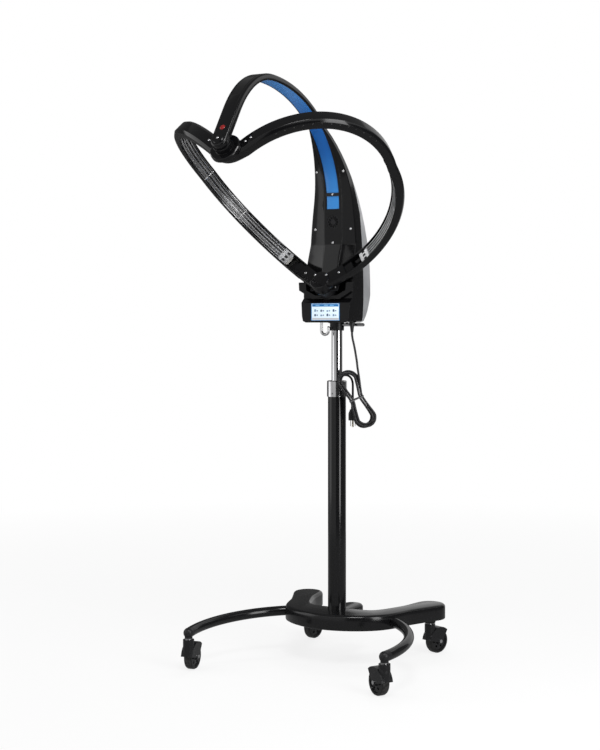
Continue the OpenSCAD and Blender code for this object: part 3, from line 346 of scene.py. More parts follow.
# Cast base: one heavy iron casting, a bowed bar with a foot for the column behind its middle. Its
# edges are rounded off in the mould, and it is powder coated in a smooth half-gloss black.
def powder_coat(name, gloss):
    made = Finish(name)
    patch = made.noise(14, 3)
    dust = made.noise(420, 2).above(0.6, 0.78)
    return made.surface(
        Base_Color=dust.blend((0.006, 0.006, 0.0065), (0.013, 0.013, 0.0135)),
        Roughness=gloss + 0.6 * gloss * (patch - 0.5) + 0.2 * gloss * dust,
        Normal=made.bump(made.noise(60, 1), 0.0001, 0.3 * gloss),
        Specular_IOR_Level=0.4,
    )


def arc(x, y, r, first, last, count=5):
    """Points round x, y from one angle to another, in degrees."""
    turns = [radians(first + (last - first) * i / count) for i in range(count + 1)]
    return [(x + r * cos(t), y + r * sin(t)) for t in turns]


def circle(r, sides, x=0, y=0):
    return arc(x, y, r, 0, 360, sides)[:-1]


class Shape:
    """The points and faces of a piece while it is made, in millimetres."""

    def __init__(self):
        self.points, self.faces = [], []

    def rings(self, rings):
        """Skins rings of the same count one after another, and closes the first and the last."""
        start, count = len(self.points), len(rings[0])
        for ring in rings:
            self.points += [0.001 * Vector(p) for p in ring]
        for i in range(len(rings) - 1):
            for j in range(count):
                a, b = start + i * count + j, start + i * count + (j + 1) % count
                self.faces.append((a, b, b + count, a + count))
        last = start + (len(rings) - 1) * count
        self.faces.append(tuple(range(start + count - 1, start - 1, -1)))
        self.faces.append(tuple(range(last, last + count)))
        return self

    def turned(self, profile, place=Matrix.Identity(4), sides=40):
        """Turns points of radius and height about the z axis of place."""
        return self.rings([[place @ Vector((*p, z)) for p in circle(r, sides)] for r, z in profile])

    def add(self, name, finish, body, slot, smooth=38):
        """The finished piece, with its round faces blended and its sharp edges left sharp."""
        mesh = bpy.data.meshes.new(name)
        mesh.from_pydata([tuple(p) for p in self.points], [], self.faces)
        work = bmesh.new()
        work.from_mesh(mesh)
        bmesh.ops.recalc_face_normals(work, faces=work.faces)
        work.to_mesh(mesh)
        work.free()
        mesh.polygons.foreach_set("use_smooth", [True] * len(mesh.polygons))
        mesh.set_sharp_from_angle(angle=radians(smooth))
        mesh.materials.append(finish.material)
        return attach(placed(name, mesh), body)


def bowed_outline(inset):
    """Outline of the bowed bar, as round pads of changing size run along a soft line."""
    pads = [
        (-196, 188, 43), (-164, 98, 33), (-112, -4, 41), (0, -34, 58), (112, -4, 41), (164, 98, 33),
        (196, 188, 43),
    ]
    line = smooth_line([Vector(p) for p in pads], 10)
    left, right = [], []
    for i, q in enumerate(line):
        step = line[min(i + 1, len(line) - 1)] - line[max(i - 1, 0)]
        way = step.xy.normalized()
        spread = step.z / step.xy.length
        out = Vector((-way.y, way.x)) * sqrt(1 - spread * spread)
        left.append(q.xy + (q.z - inset) * (out - spread * way))
        right.append(q.xy - (q.z - inset) * (out + spread * way))

    def round_end(middle, start, stop):
        a, b = atan2(*(start - middle).yx), atan2(*(stop - middle).yx)
        b += tau if b < a else 0
        return arc(*middle, (start - middle).length, degrees(a), degrees(b), 14)[1:-1]

    return [
        *right,
        *round_end(line[-1].xy, right[-1], left[-1]),
        *left[::-1],
        *round_end(line[0].xy, left[0], right[0]),
    ]


def foot_outline(inset):
    r = 30 - inset
    return [(r, -20), *arc(0, 92, r, 0, 180, 24), (-r, -20)]


edge_steps = [
    (100, 2.5), (101, 0.8), (103, 0), (133.5, 0), (136.5, 0.8), (139, 2.6), (141, 5.4), (142, 9.5),
]
rear_caster = (196, 188)
casting = Shape()
casting.rings([[(*p, z) for p in bowed_outline(inset)] for z, inset in edge_steps])
casting.rings([
    [(*p, z - 2 if z > 110 else z) for p in foot_outline(inset)] for z, inset in edge_steps
])
for side in (-1, 1):
    boss = Matrix.Translation((side * rear_caster[0], rear_caster[1], 0))
    casting.turned([(14.5, 87.5), (16, 89), (16, 104)], boss)
casting = casting.add("cast_base", powder_coat("base_coat", 0.17), "stand", "black_paint")
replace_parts(casting, "base_casting")

# Front legs: two bent steel tubes set into the casting's bar and powder coated as it is. Each is
# closed by a moulded plug that holds the caster's stem.
leg_coat = powder_coat("leg_coat", 0.14)
for name in ("left_leg", "right_leg"):
    dress(name, leg_coat)


def black_nylon(name, rough=0.4, scale=450, light=(0.017, 0.017, 0.018), more=0.14):
    return grained(
        name, (scale, 3), (0.008, 0.008, 0.009), light, rough, more, (0.0002, 0.25),
        Specular_IOR_Level=0.3,
    )


dress("leg_end_caps", black_nylon("end_plug_nylon", 0.34, 500, (0.016, 0.016, 0.017), 0.12))


# Casters: a moulded nylon hood with two cheeks turns on a plated steel stem. The wheel between the
# cheeks has a hard glossy hub inside a softer rubber tread, and the axle's heads are bare steel.
def hood_nylon():
    made = Finish("caster_hood")
    scuff = made.noise(60, 5).above(0.56, 0.8)
    return made.surface(
        Base_Color=scuff.blend((0.009, 0.009, 0.010), (0.024, 0.024, 0.025)),
        Roughness=0.24 + 0.3 * scuff,
        Normal=made.bump(made.noise(800, 2), 0.0002, 0.25),
        Specular_IOR_Level=0.35,
    )


def wheel_rubber(name, middle, axle):
    """Hub and tread, told apart by their distance from the axle."""
    made = Finish(name)
    offset = made.vector("SUBTRACT", made.place, middle)
    along = made.vector("DOT_PRODUCT", offset, axle, 1)
    radius = (made.vector("DOT_PRODUCT", offset, offset, 1) - along * along) ** 0.5
    tread = radius.above(0.0262, 0.0266)
    worn = radius.above(0.0325, 0.0338) * made.noise(140, 4).above(0.35, 0.7)
    clean = tread.blend((0.012, 0.012, 0.013), (0.007, 0.007, 0.007))
    return made.surface(
        Base_Color=worn.blend(clean, (0.035, 0.034, 0.033)),
        Roughness=0.18 + 0.22 * tread + 0.25 * worn,
        Normal=made.bump(made.noise(600, 2), 0.0003, 0.3),
        Specular_IOR_Level=0.4,
    )


def plated(name, dark, bright, rough, scale, stretch=None):
    """Metal between two greys with a fine grain, which stretch draws out along the piece. On the
    chromed sleeve and lift tube these streaks are partly grain and partly painted reflection.
    """
    made = Finish(name)
    grain = made.noise(scale, 4, stretch)
    first, second = (dark, dark, dark + 0.01), (bright, bright, bright + 0.01)
    return made.surface(
        Base_Color=grain.above(0.3, 0.7).blend(first, second),
        Metallic=1.0,
        Roughness=rough + 0.1 * (grain - 0.4),
        Normal=made.bump(made.noise(scale * 4, 2, stretch), 0.0001, 0.03),
    )


hood = hood_nylon()
axle_steel = plated("axle_steel", 0.45, 0.72, 0.24, 300)
leg_sweep, leg_angle = 298, radians(-12)
front_caster = (leg_sweep * cos(leg_angle), -235 + leg_sweep * sin(leg_angle))
caster_trail, axle_height = 26, 34
for caster, side, place, turn in (
    ("fl", -1, front_caster, 100),
    ("fr", 1, front_caster, 148),
    ("rl", -1, rear_caster, 82),
    ("rr", 1, rear_caster, 69),
):
    ahead = Vector((cos(radians(turn)), sin(radians(turn)), 0))
    middle = 0.001 * (Vector((side * place[0], place[1], axle_height)) + caster_trail * ahead)
    tyre = wheel_rubber(f"wheel_{caster}", tuple(middle), (-ahead.y, ahead.x, 0))
    dress(f"caster_{caster}_fork", hood, 0.0012)
    dress(f"caster_{caster}_wheel", tyre, 0.0006, 40)
    dress(f"caster_{caster}_pins", axle_steel, 0.0004)

# Column: a steel tube in the same coat as the base but smoother, pressed into the casting and held
# from below by three socket screws through the foot of the gas spring's rod.
dress("column_tube", powder_coat("column_coat", 0.11))
screw_steel = plated("screw_steel", 0.5, 0.74, 0.28, 300)
dress("base_screws", screw_steel, 0.0003)


# Sleeve and lift: a chromed sleeve with a nylon bush closes the column and guides the chromed lift
# tube. Inside it a locking gas spring stands on its own rod, and its valve pin comes out on top.
# The dark and bright streaks drawn along the chrome's colour are partly the grain of drawn tube and
# partly a painted reflection of the bright and dark bands round a chrome tube.
drawn = (1, 1, 0.03)
sleeve_chrome = plated("sleeve_chrome", 0.42, 0.86, 0.16, 110, drawn)
tube_chrome = plated("tube_chrome", 0.3, 0.88, 0.08, 90, drawn)
drawn_steel = plated("drawn_steel", 0.4, 0.62, 0.3, 200, drawn)
bush_nylon = grained("bush_nylon", (220, 3), (0.66, 0.65, 0.6), (0.78, 0.77, 0.73), 0.4, 0.15)
dress("chrome_sleeve", sleeve_chrome, 0.0006)
dress("lift_tube", tube_chrome)
dress("guide_bush", bush_nylon, 0.0004)
for inner in ("piston_rod", "gas_barrel", "valve_pin"):
    dress(inner, drawn_steel)

# Collar and lever: a moulded collar fixes the head on the lift tube. The chromed rod that sticks
# out of its side turns on a small trunnion and presses the valve pin, which frees the height.
collar_nylon = black_nylon("collar_nylon", 0.3, 380, (0.015, 0.015, 0.016))
lever_chrome = plated("lever_chrome", 0.36, 0.8, 0.14, 90, (0.05, 1, 1))
hook_chrome = plated("hook_chrome", 0.42, 0.86, 0.12, 120, drawn)
dress("head_collar", collar_nylon, 0.0006)
dress("release_lever", lever_chrome, 0.0004)
dress("cord_hook", hook_chrome, 0.0003)


# Inside of the head: a bent steel bracket screwed down on the collar carries the power board, the
# boss of the lower pivot and the geared motor that turns the ring. A small fan has its own grille.
def spangled_steel():
    made = Finish("bracket_steel")
    spangle = made.noise(120, 2)
    return made.surface(
        Base_Color=spangle.above(0.4, 0.6).blend((0.4, 0.41, 0.42), (0.55, 0.56, 0.57)),
        Metallic=1.0,
        Roughness=0.34 + 0.16 * spangle,
    )


def board_lacquer():
    made = Finish("board_lacquer")
    chip = made.noise(70, 1, (1, 0.2, 1)).above(0.54, 0.56)
    track = made.noise(420, 1, (1, 1, 0.15)).above(0.56, 0.6)
    green = track.blend((0.005, 0.07, 0.03), (0.02, 0.16, 0.07))
    return made.surface(
        Base_Color=chip.blend(green, (0.014, 0.014, 0.015)),
        Roughness=0.3 + 0.3 * chip,
        Normal=made.bump(track, 0.0002, 0.4),
    )


motor_can = plated("motor_can", 0.36, 0.55, 0.32, 140, drawn)
dress("mount_bracket", spangled_steel(), 0.0004)
dress("circuit_boards", board_lacquer())
dress("gear_motor", motor_can, 0.0005)
dress("drive_shaft", drawn_steel)
dress("pivot_plate", black_nylon("pivot_boss_nylon", 0.3), 0.0005)
dress("fan_frame", black_nylon("fan_frame_nylon"), 0.0003)
dress("fan_rotor", black_nylon("fan_blade_nylon", 0.3))
dress("vent_grille", black_nylon("grille_nylon", 0.22), 0.0004)


# Housing: a deep shell moulded in glossy black plastic, with a box for the screen below and the
# sides of the spine above. An octagonal tray in its front opening surrounds the ring's lower pivot.
def gloss_shell(name, rough=0.12):
    made = Finish(name)
    haze = made.noise(9, 3)
    dust = made.noise(520, 2).above(0.64, 0.8)
    rub = made.noise(34, 5, (1, 1, 0.3)).above(0.56, 0.8)
    return made.surface(
        Base_Color=dust.blend((0.004, 0.004, 0.0045), (0.011, 0.011, 0.0115)),
        Roughness=rough + 0.08 * (haze - 0.5) + 0.04 * dust + 0.08 * rub,
        Normal=made.bump(made.noise(50, 1), 0.0001, 0.05),
        Specular_IOR_Level=0.35,
    )


dress("main_housing", gloss_shell("housing_black"), 0.0014)
dress("bay_tray", gloss_shell("tray_black", 0.16), 0.0009)


# Rear cover: a louvred cover of grey plastic with a fine matt grain, which closes the back of the
# head and is lighter than all the rest.
def grained_grey():
    made = Finish("rear_grey")
    grain = made.noise(1500, 2)
    cloud = made.noise(7, 3)
    return made.surface(
        Base_Color=cloud.above(0.3, 0.7).blend((0.17, 0.173, 0.18), (0.36, 0.364, 0.374)),
        Roughness=0.34 + 0.1 * grain,
        Normal=made.bump(grain, 0.0002, 0.3),
    )


dress("rear_cover", grained_grey(), 0.0014)


# Front panel: a glossy moulding that follows the spine up into the arch. It has a raised band along
# its middle, which narrows downward, a channel for the light strip and a round hole for the grille.
spine_y, spine_foot, box_y, box_top = -23, 1145, -50, 1049
arch_y, arch_foot, arch_rise, arch_back, arch_ahead = -383, 1254, 287, 360, 207
channel_foot = 1242
slope_depth, slope_height = spine_y - box_y, spine_foot - box_top
slope_out = Vector((0, -slope_height, slope_depth)).normalized()
spine_out = Vector((0, -1, 0))


def arch_point(a, depth=0.0):
    """A point of the arch in the side view, depth outside its inner face."""
    reach = arch_back if a < pi / 2 else arch_ahead
    out = Vector((0, cos(a) / reach, sin(a) / arch_rise)).normalized()
    y, z = arch_y + reach * cos(a), arch_foot + arch_rise * sin(a)
    return Vector((0, y, z)) + depth * out


def arch_out(a):
    return arch_point(a, 1) - arch_point(a)


def slope_point(x, z):
    """A point of the panel's sloping foot, between the box and the spine."""
    return Vector((x, box_y + slope_depth * (z - box_top) / slope_height, z))


def head_side():
    """The head's half width and the height at which it has it."""
    p, q, r, s = (Vector(v) for v in ((75, 993), (76, 1201), (50, 1371), (22, 1451)))
    line = []
    for t in (i / 60 for i in range(61)):
        u = 1 - t
        line.append(p * u**3 + 3 * q * t * u**2 + 3 * r * t * t * u + s * t**3)
    return line


def half_width(z, side=tuple(head_side())):
    for p, q in zip(side, side[1:]):
        if z <= q.y:
            return p.x + (q.x - p.x) * (z - p.y) / (q.y - p.y)
    return side[-1].x


def mirrored(half):
    """A profile from its half at the right."""
    return half + [(-x, d) for x, d in reversed(half)]


def section(at, out, profile):
    """A profile set across the head's middle at a point, its depth along out."""
    return [at + Vector((x, 0, 0)) + d * out for x, d in profile]


def panel_ring(at, out):
    """One section of the panel, with its points across and out of the front."""
    half = half_width(at.z)
    band = min(28, 22 + 8 * max(0, at.z - box_top) / 150, half - 2.5)
    step = 1.3 * min(1, max(0.01, (half - 24) / 9))
    channel = -2.15 if at.z > channel_foot else step - 0.02
    return section(at, out, mirrored([
        (half, -3), (half, -2), (half - 0.5, -0.8), (half - 1.6, -0.15), (half - 3, 0),
        (band + 1, 0), (band + 0.4, 0.25 * step), (band - 0.1, 0.85 * step), (band - 0.7, step),
        (19.35, step), (19.2, step - 0.01), (19.2, channel),
    ]))


panel_rings = [panel_ring(slope_point(0, z), slope_out) for z in (1047.5, 1060, 1085, 1115, 1143)]
for z in (1147, 1170, 1200, 1225, channel_foot - 0.1, channel_foot + 0.1, arch_foot):
    panel_rings.append(panel_ring(Vector((0, spine_y, z)), spine_out))
for a in (radians(i) for i in range(1, 46)):
    panel_rings.append(panel_ring(arch_point(a), -arch_out(a)))
panel_black = gloss_shell("panel_black", 0.1)
panel = Shape().rings(panel_rings)
panel = panel.add("front_panel_moulding", panel_black, "head", "black_plastic", 30)
vent_place = Matrix.Translation((0, spine_y, 1207)) @ Matrix.Rotation(pi / 2, 4, "X")
hole = Shape().turned([(18.55, -12), (18.55, 12)], vent_place, 64)
hole = hole.add("hole", panel_black, "head", "black_plastic")
cut = panel.modifiers.new("vent_hole", "BOOLEAN")
cut.operation = "DIFFERENCE"
cut.object = hole
seen_panel = panel.evaluated_get(bpy.context.evaluated_depsgraph_get())
cut_mesh = bpy.data.meshes.new_from_object(seen_panel)
panel.modifiers.clear()
cut_mesh.set_sharp_from_angle(angle=radians(30))
panel.data = cut_mesh
bpy.data.objects.remove(hole)
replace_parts(panel, "front_panel")


# Screen: a pale colour display under a flat glass, set flush in the front of the box. It shows a
# blue bar on top, two rows of small grey signs with no meaning and a grey foot.
def display_glass():
    made = Finish("display_glass")
    x, z = made.axis(0), made.axis(2)
    blur = 0.0002

    def patch(low, high, first, last):
        inside = x.above(low - blur, low) * (1 - x.above(high, high + blur))
        return inside * z.above(first - blur, first) * (1 - z.above(last, last + blur))

    picture = z.above(0.94, 0.975).blend((0.62, 0.72, 0.80), (0.72, 0.86, 0.95))
    picture = patch(-0.041, 0.041, 0.9385, 0.9435).blend(picture, (0.45, 0.47, 0.50))
    picture = patch(-0.0405, 0.0405, 0.9745, 0.9815).blend(picture, (0.03, 0.17, 0.42))
    for left in (-0.030, -0.004, 0.014):
        picture = patch(left, left + 0.012, 0.9768, 0.9792).blend(picture, (0.18, 0.42, 0.68))
    for column, left in enumerate((-0.034, -0.015, 0.004, 0.023)):
        for row, foot in enumerate((0.9605, 0.9485)):
            tall = 0.0065 - 0.0012 * ((column + row) % 3)
            shade = (0.05, 0.09, 0.15) if (column + row) % 2 else (0.16, 0.26, 0.36)
            sign = patch(left, left + 0.0052, foot, foot + tall)
            picture = sign.blend(picture, shade)
            sign = patch(left + 0.0072, left + 0.0110, foot + 0.001, foot + 0.0042)
            picture = sign.blend(picture, (0.14, 0.2, 0.28))
    picture = patch(-0.0418, 0.0418, 0.9378, 0.9822).blend((0.02, 0.16, 0.40), picture)
    return made.surface(
        Base_Color=picture,
        Emission_Color=picture,
        Emission_Strength=0.25,
        Roughness=0.1 + 0.08 * made.noise(40, 2),
        Specular_IOR_Level=0.3,
    )


dress("screen_glass", display_glass())


# Arm: the arch goes on as a hollow glossy moulding with two shallow grooves along its outer face.
# It comes down round-ended on the ring's upper pivot, and a flat cover closes its inner side.
tilt = radians(33)
arch_end = pi - atan(tan(tilt) * arch_rise / arch_ahead)
pivot = Vector((0, -75, 1028))
ring_frame = Matrix.Translation(pivot) @ Matrix.Rotation(pi / 2 - tilt, 4, "X")
arm_foot = ring_frame.inverted() @ arch_point(arch_end)
arm_t, arm_w = arm_foot.z, arm_foot.y
arm_depth, arm_round = 17, 5


def arm_ring(a):
    recess = 5 if a < arch_end - radians(0.5) else 0.02
    groove = 0.9 * min(1, (arch_end - a) / radians(14) + 0.01)
    return section(arch_point(a), arch_out(a), mirrored([
        (19.4, recess), (19.4, 0.1), (19.5, 0), *arc(21.2, 0.8, 0.8, -90, 0, 3),
        *arc(17, arm_depth - arm_round, arm_round, 0, 90), (15.6, arm_depth),
        (15.1, arm_depth - 0.7 * groove), (14.4, arm_depth - groove),
        (13.6, arm_depth - groove), (12.9, arm_depth - 0.7 * groove), (12.4, arm_depth),
    ]))


def arm_end_outline(inset):
    r = 22 - inset
    return [(r, arm_w + 0.4), (-r, arm_w + 0.4), *arc(0, 0, r, 180, 360, 32)]


arm_start = radians(45)
arm = Shape().rings([arm_ring(arm_start + (arch_end - arm_start) * i / 70) for i in range(71)])
edge_turn = arc(arm_depth - arm_round, arm_round, arm_round, -90, 0, 6)[1:]
arm.rings([
    [ring_frame @ Vector((*p, arm_t + d)) for p in arm_end_outline(inset)]
    for d, inset in [(0, 0.8), (0.25, 0.24), (0.8, 0), (arm_depth - arm_round, 0), *edge_turn]
])
arm = arm.add("arm_moulding", gloss_shell("arm_black", 0.13), "head", "black_plastic", 34)
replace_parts(arm, "arm_shell")
dress("arm_cover", black_nylon("arm_cover_nylon"))


# Light strip: a thin strip of clear blue plastic laid in the panel's channel and on up under the
# arch. A small black clip with one screw holds its lower end.
def clear_blue():
    made = Finish("clear_blue")
    height = made.axis(2)
    # The blue is painted by height: lighter at the foot, where the strip faces the lamps (painted
    # light), darker up under the arch (painted shade), and paler again near its top end.
    low, high = height.above(1.262, 1.40), height.above(1.47, 1.54)
    painted_lit_and_shaded_blue = low.blend((0.040, 0.24, 0.62), (0.003, 0.105, 0.40))
    grain = made.noise(80, 3)
    return made.surface(
        Base_Color=high.blend(painted_lit_and_shaded_blue, (0.05, 0.22, 0.56)),
        Roughness=0.16 + 0.1 * grain,
        Normal=made.bump(grain, 0.0002, 0.15),
        Specular_IOR_Level=0.4,
    )


strip_band = mirrored([(19, 2), (19, 0.5), (18.85, 0.15), (18.5, 0)])
strip_rings = [section(Vector((0, spine_y, z)), -spine_out, strip_band) for z in (1243, 1248)]
strip_end = arch_end - radians(1)
for a in (strip_end * i / 90 for i in range(91)):
    strip_rings.append(section(arch_point(a), arch_out(a), strip_band))
strip = Shape().rings(strip_rings).add("blue_strip", clear_blue(), "head", "blue_strip")
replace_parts(strip, "light_strip")
dress("strip_clip", black_nylon("clip_nylon", 0.3), 0.0004)


# Upper pivot: a steel pin fixed in the arm's end under a round black cap, with a screw in the cap's
# middle. Above it sits the red lens of the sensor, a small dome of dark red plastic.
def in_ring(*at):
    """A place given in the ring's own directions: to the side, back and along its axis."""
    return ring_frame @ Matrix.Translation(at)


def facing(at, out):
    """A place at a point, with its z along out."""
    return Matrix.Translation(at) @ out.to_track_quat("Z", "Y").to_matrix().to_4x4()


def pan_head(shape, place, radius=3.2, height=1.5):
    """A rounded screw head with a cross recess, its axis along z of place and its seat at z 0."""
    rounds, crosses = [(1, 0), (1, 0.35), (0.93, 0.66), (0.78, 0.88), (0.6, 1)], []
    spin = circle(radius, 32)
    for length, width, h in ((0.52, 0.11, 1), (0.4, 0.09, 0.4)):
        crosses.append([])
        for x, y in spin:
            off = abs((atan2(y, x) + pi / 4) % (pi / 2) - pi / 4)
            r = min(length / cos(off), width / max(sin(off), 0.001))
            crosses[-1].append((r * x, r * y, h * height))
    rings = [[(r * x, r * y, h * height) for x, y in spin] for r, h in rounds] + crosses
    shape.rings([[place @ Vector(p) for p in ring] for ring in rings])


lens = Shape().turned(
    [(7, -4), (7, 0), (6.75, 0.7), (6, 1.4), (4.9, 1.95), (3.4, 2.3), (1.6, 2.46), (0.2, 2.5)],
    in_ring(0, 34, arm_t + arm_depth),
)
red_plastic = grained(
    "red_plastic", (160, 2), (0.16, 0.008, 0.008), (0.34, 0.02, 0.018), 0.14, 0.1,
    Specular_IOR_Level=0.4,
)
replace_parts(lens.add("sensor_dome", red_plastic, "head", "red_lens"), "sensor_lens")
dress("pivot_pin", gloss_shell("cap_black", 0.1), 0.0009)
screw_bright = plated("screw_bright", 0.66, 0.86, 0.26, 500)
cap_screw = Shape()
pan_head(cap_screw, in_ring(0, 0, arm_t + 19.9))
cap_screw.add("cap_screw", screw_bright, "head", "steel")

# Screws of the head: bright pan heads with a cross recess. Six hold the panel, one the strip's
# clip, two the lower pivot's ears and two the bracket's foot under the box.
head_screws = Shape()
for x, z in ((-41, 1343), (41, 1343), (-55, 1187), (55, 1187), (0, 1150), (0, 1066)):
    if z < spine_foot:
        spot, out = slope_point(x, z), slope_out
    elif z < arch_foot:
        spot, out = Vector((x, spine_y, z)), spine_out
    else:
        a = asin((z - arch_foot) / arch_rise)
        spot, out = arch_point(a) + Vector((x, 0, 0)), -arch_out(a)
    raised = 0.1 if x else 1.35
    pan_head(head_screws, facing(spot + raised * out, out), 3.4, 1.7)
clip_a = radians(5.7)
pan_head(head_screws, facing(arch_point(clip_a, -2.2), -arch_out(clip_a)), 3, 1.5)
for side in (-1, 1):
    pan_head(head_screws, in_ring(33 * side, 0, -2.2))
    pan_head(head_screws, facing(Vector((28 * side, 6, 931)), Vector((0, 0, -1))), 4, 1.8)
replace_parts(head_screws.add("head_screw_set", screw_bright, "head", "steel"), "head_screws")


# Ring: a heart-shaped channel of glossy black nylon, folded along its middle so that its two lobes
# stand round the head. Each lobe is a moulding with rounded edges, and they meet at the notch.
lobe_turn = radians(58)
lobe_mid, lobe_r, lobe_off = arm_t / 2 - 12, 279, 46
band_start = -acos((78 - lobe_off) / lobe_r)
lobe_low, lobe_high = lobe_mid - lobe_r, lobe_mid + lobe_r


def folded(side, reach, height):
    """A point of the folded ring, reach from its axis on one side."""
    back = cos(lobe_turn) * reach * reach / hypot(reach, 40)
    return Vector((side * reach * sin(lobe_turn), back, height))


def lobe_radius(a):
    """Radius of a lobe's middle line at an angle, which swells toward the notch."""
    return lobe_r * (1 + 0.1 * sin(2 * a) if a > 0 else 1)


def lobe_run(side, first, last, count):
    """Points of a lobe between two angles, each with its way in toward the lobe's middle."""
    level = Vector((side * sin(lobe_turn), cos(lobe_turn), 0))
    run = []
    for a in (first + (last - first) * i / count for i in range(count + 1)):
        reach, height = lobe_radius(a) * cos(a), lobe_radius(a) * sin(a)
        toward = -cos(a) * level - sin(a) * up
        run.append((folded(side, lobe_off + reach, lobe_mid + height), toward))
    return run


def with_frames(run):
    """Each point of a run with its ways across the band, in to the head and along."""
    made = []
    for i, (p, toward) in enumerate(run):
        along = (run[min(i + 1, len(run) - 1)][0] - run[max(i - 1, 0)][0]).normalized()
        inward = (toward - toward.dot(along) * along).normalized()
        made.append((p, along.cross(inward), inward, along))
    return made


def lobe_line(*span):
    return with_frames(lobe_run(*span))


def carried(stations, profile):
    """Rings of a profile of points across and in, carried along stations."""
    rings = []
    for p, across, inward, _ in stations:
        rings.append([ring_frame @ (p + x * across + d * inward) for x, d in profile])
    return rings


band = mirrored([
    *arc(13, -11, 2, -90, -50, 3), *arc(19, -6, 2, -40, 0, 3), *arc(20.2, 12.2, 0.8, 0, 90, 3),
    (18.4, 13), (18, 12.6), (18, -5), (13, -10),
])
whole_ring = lobe_run(1, band_start, pi / 2, 104)
for r in (34.5 - 69 * i / 16 for i in range(17)):
    whole_ring.append((folded(copysign(1, r), abs(r), lobe_high), -up))
whole_ring += lobe_run(-1, band_start, pi / 2, 104)[::-1]
ring = Shape().rings(carried(with_frames(whole_ring), band))
ring = ring.add("ring_channel", gloss_shell("ring_black", 0.11), "ring", "black_plastic")
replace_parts(ring, "ring_shell")

# Vents of the ring: rows of small pierced eyelets are let into the side walls of the channel near
# their outer edge. They let out the warm air behind the reflectors.
eyelets = Shape()
eyelet_rim = [(1.9, -0.3), (1.9, 0.12), (1.6, 0.3), (1.15, 0.28), (0.95, 0.1), (0.9, -0.3)]
for side in (-1, 1):
    for wall in (-1, 1):
        for p, across, inward, _ in lobe_line(side, radians(22), radians(74), 12):
            seat = ring_frame @ (p + wall * 21 * across - 2.6 * inward)
            out = ring_frame.to_3x3() @ (wall * across)
            eyelets.turned(eyelet_rim, facing(seat, out), 14)
eyelet_metal = grained(
    "eyelet_metal", (700, 2), (0.03, 0.03, 0.03), (0.10, 0.10, 0.10), 0.3, 0.2, Metallic=0.6
)
eyelets.add("ring_eyelets", eyelet_metal, "ring", "black_plastic")

# Yoke: the moulded foot of the ring, a thick hub on the driven shaft with two arms whose tongues
# are screwed into the open ends of the channel. Four screws show on its face.
yoke_band = mirrored([
    *arc(12.5, -11, 2, -90, -50, 3), *arc(18, -6, 2, -40, 0, 3), *arc(18.4, 11.4, 1.6, 0, 90)
])
tongue = [(x * 0.83, max(d, -9.5) - (5 if d > 5 else 0)) for x, d in yoke_band]
yoke = Shape()
for side in (-1, 1):
    yoke_run = [(folded(side, 10 + 36 * i / 10, lobe_low), up) for i in range(10)]
    yoke_run += lobe_run(side, -pi / 2, band_start, 8)
    yoke.rings(carried(with_frames(yoke_run), yoke_band))
    yoke.rings(carried(lobe_line(side, band_start - 0.01, band_start + 0.09, 4), tongue))
hub_top = lobe_low + 17
hub = [
    (5.2, 0.5), (26.5, 0.5), (28, 2), (28, hub_top - 3), (27.1, hub_top - 0.9), (25, hub_top),
    (0.2, hub_top),
]
yoke = yoke.turned(hub, ring_frame, 64)
yoke = yoke.add("ring_foot", gloss_shell("yoke_black", 0.14), "ring", "black_plastic")
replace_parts(yoke, "ring_yoke")
foot_screws = Shape()
for side in (-1, 1):
    pan_head(foot_screws, in_ring(17 * side, 17, hub_top))
    beside = [(folded(side, r, lobe_low + 3.2), up) for r in (56, 60, 64)]
    p, across, inward, along = with_frames(beside)[1]
    pan_head(foot_screws, facing(ring_frame @ (p + 10.2 * inward), ring_frame.to_3x3() @ inward))
foot_screws.add("foot_screw_set", screw_bright, "ring", "steel")

# Hub disc: a turned black disc under the arm's end, screwed to the notch of the ring from inside.
# Two pairs of bright screws beside it hold the upper ends of the reflectors.
disc_low = lobe_high + 13
disc_rim = [
    (6.1, 0), (38.5, 0), (40, 1.5), (40, 8.5), (39.2, 10.6), (37.2, 12), (24.6, 12), (24, 12.6),
]
disc_neck = [(24, arm_t - 1), (23.3, arm_t - 0.3), (6.1, arm_t - 0.3)]
disc = Shape().turned([(r, disc_low + z) for r, z in disc_rim] + disc_neck, ring_frame, 72)
disc = disc.add("hub_disc_turned", gloss_shell("hub_black", 0.1), "ring", "black_plastic", 30)
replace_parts(disc, "hub_disc")
ring_screws = Shape()
for side in (-1, 1):
    for reach in (54, 70):
        a = acos((reach - lobe_off) / lobe_r)
        spot = folded(side, reach, lobe_mid + lobe_radius(a) * sin(a) + 13.2)
        pan_head(ring_screws, in_ring(*spot), 3.2, 1.7)
    way = (folded(side, 28, 0) - folded(side, 26, 0)).normalized()
    for aside in (-8, 8):
        spot = folded(side, 27, lobe_high + 10) + aside * Vector((-way.y, way.x, 0))
        pan_head(ring_screws, in_ring(*spot) @ Matrix.Rotation(pi, 4, "X"), 3.6, 1.8)
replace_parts(ring_screws.add("ring_screw_set", screw_bright, "ring", "steel"), "ring_screws")


# Reflectors: in each lobe a long strip of polished aluminium is folded to a tray along the channel.
# Its colour is painted in large dark and bright patches, a painted reflection of dark and white
# surroundings.
def polished_tray():
    made = Finish("polished_tray")
    # Painted reflection: large dark and bright patches in the metal's colour.
    painted_reflection_patches = made.noise(9, 2)
    fine = made.noise(60, 2)
    return made.surface(
        Base_Color=painted_reflection_patches.above(0.36, 0.62).blend((0.1, 0.1, 0.102), (0.66, 0.66, 0.67)),
        Metallic=1.0,
        Roughness=0.24 + 0.12 * fine,
    )


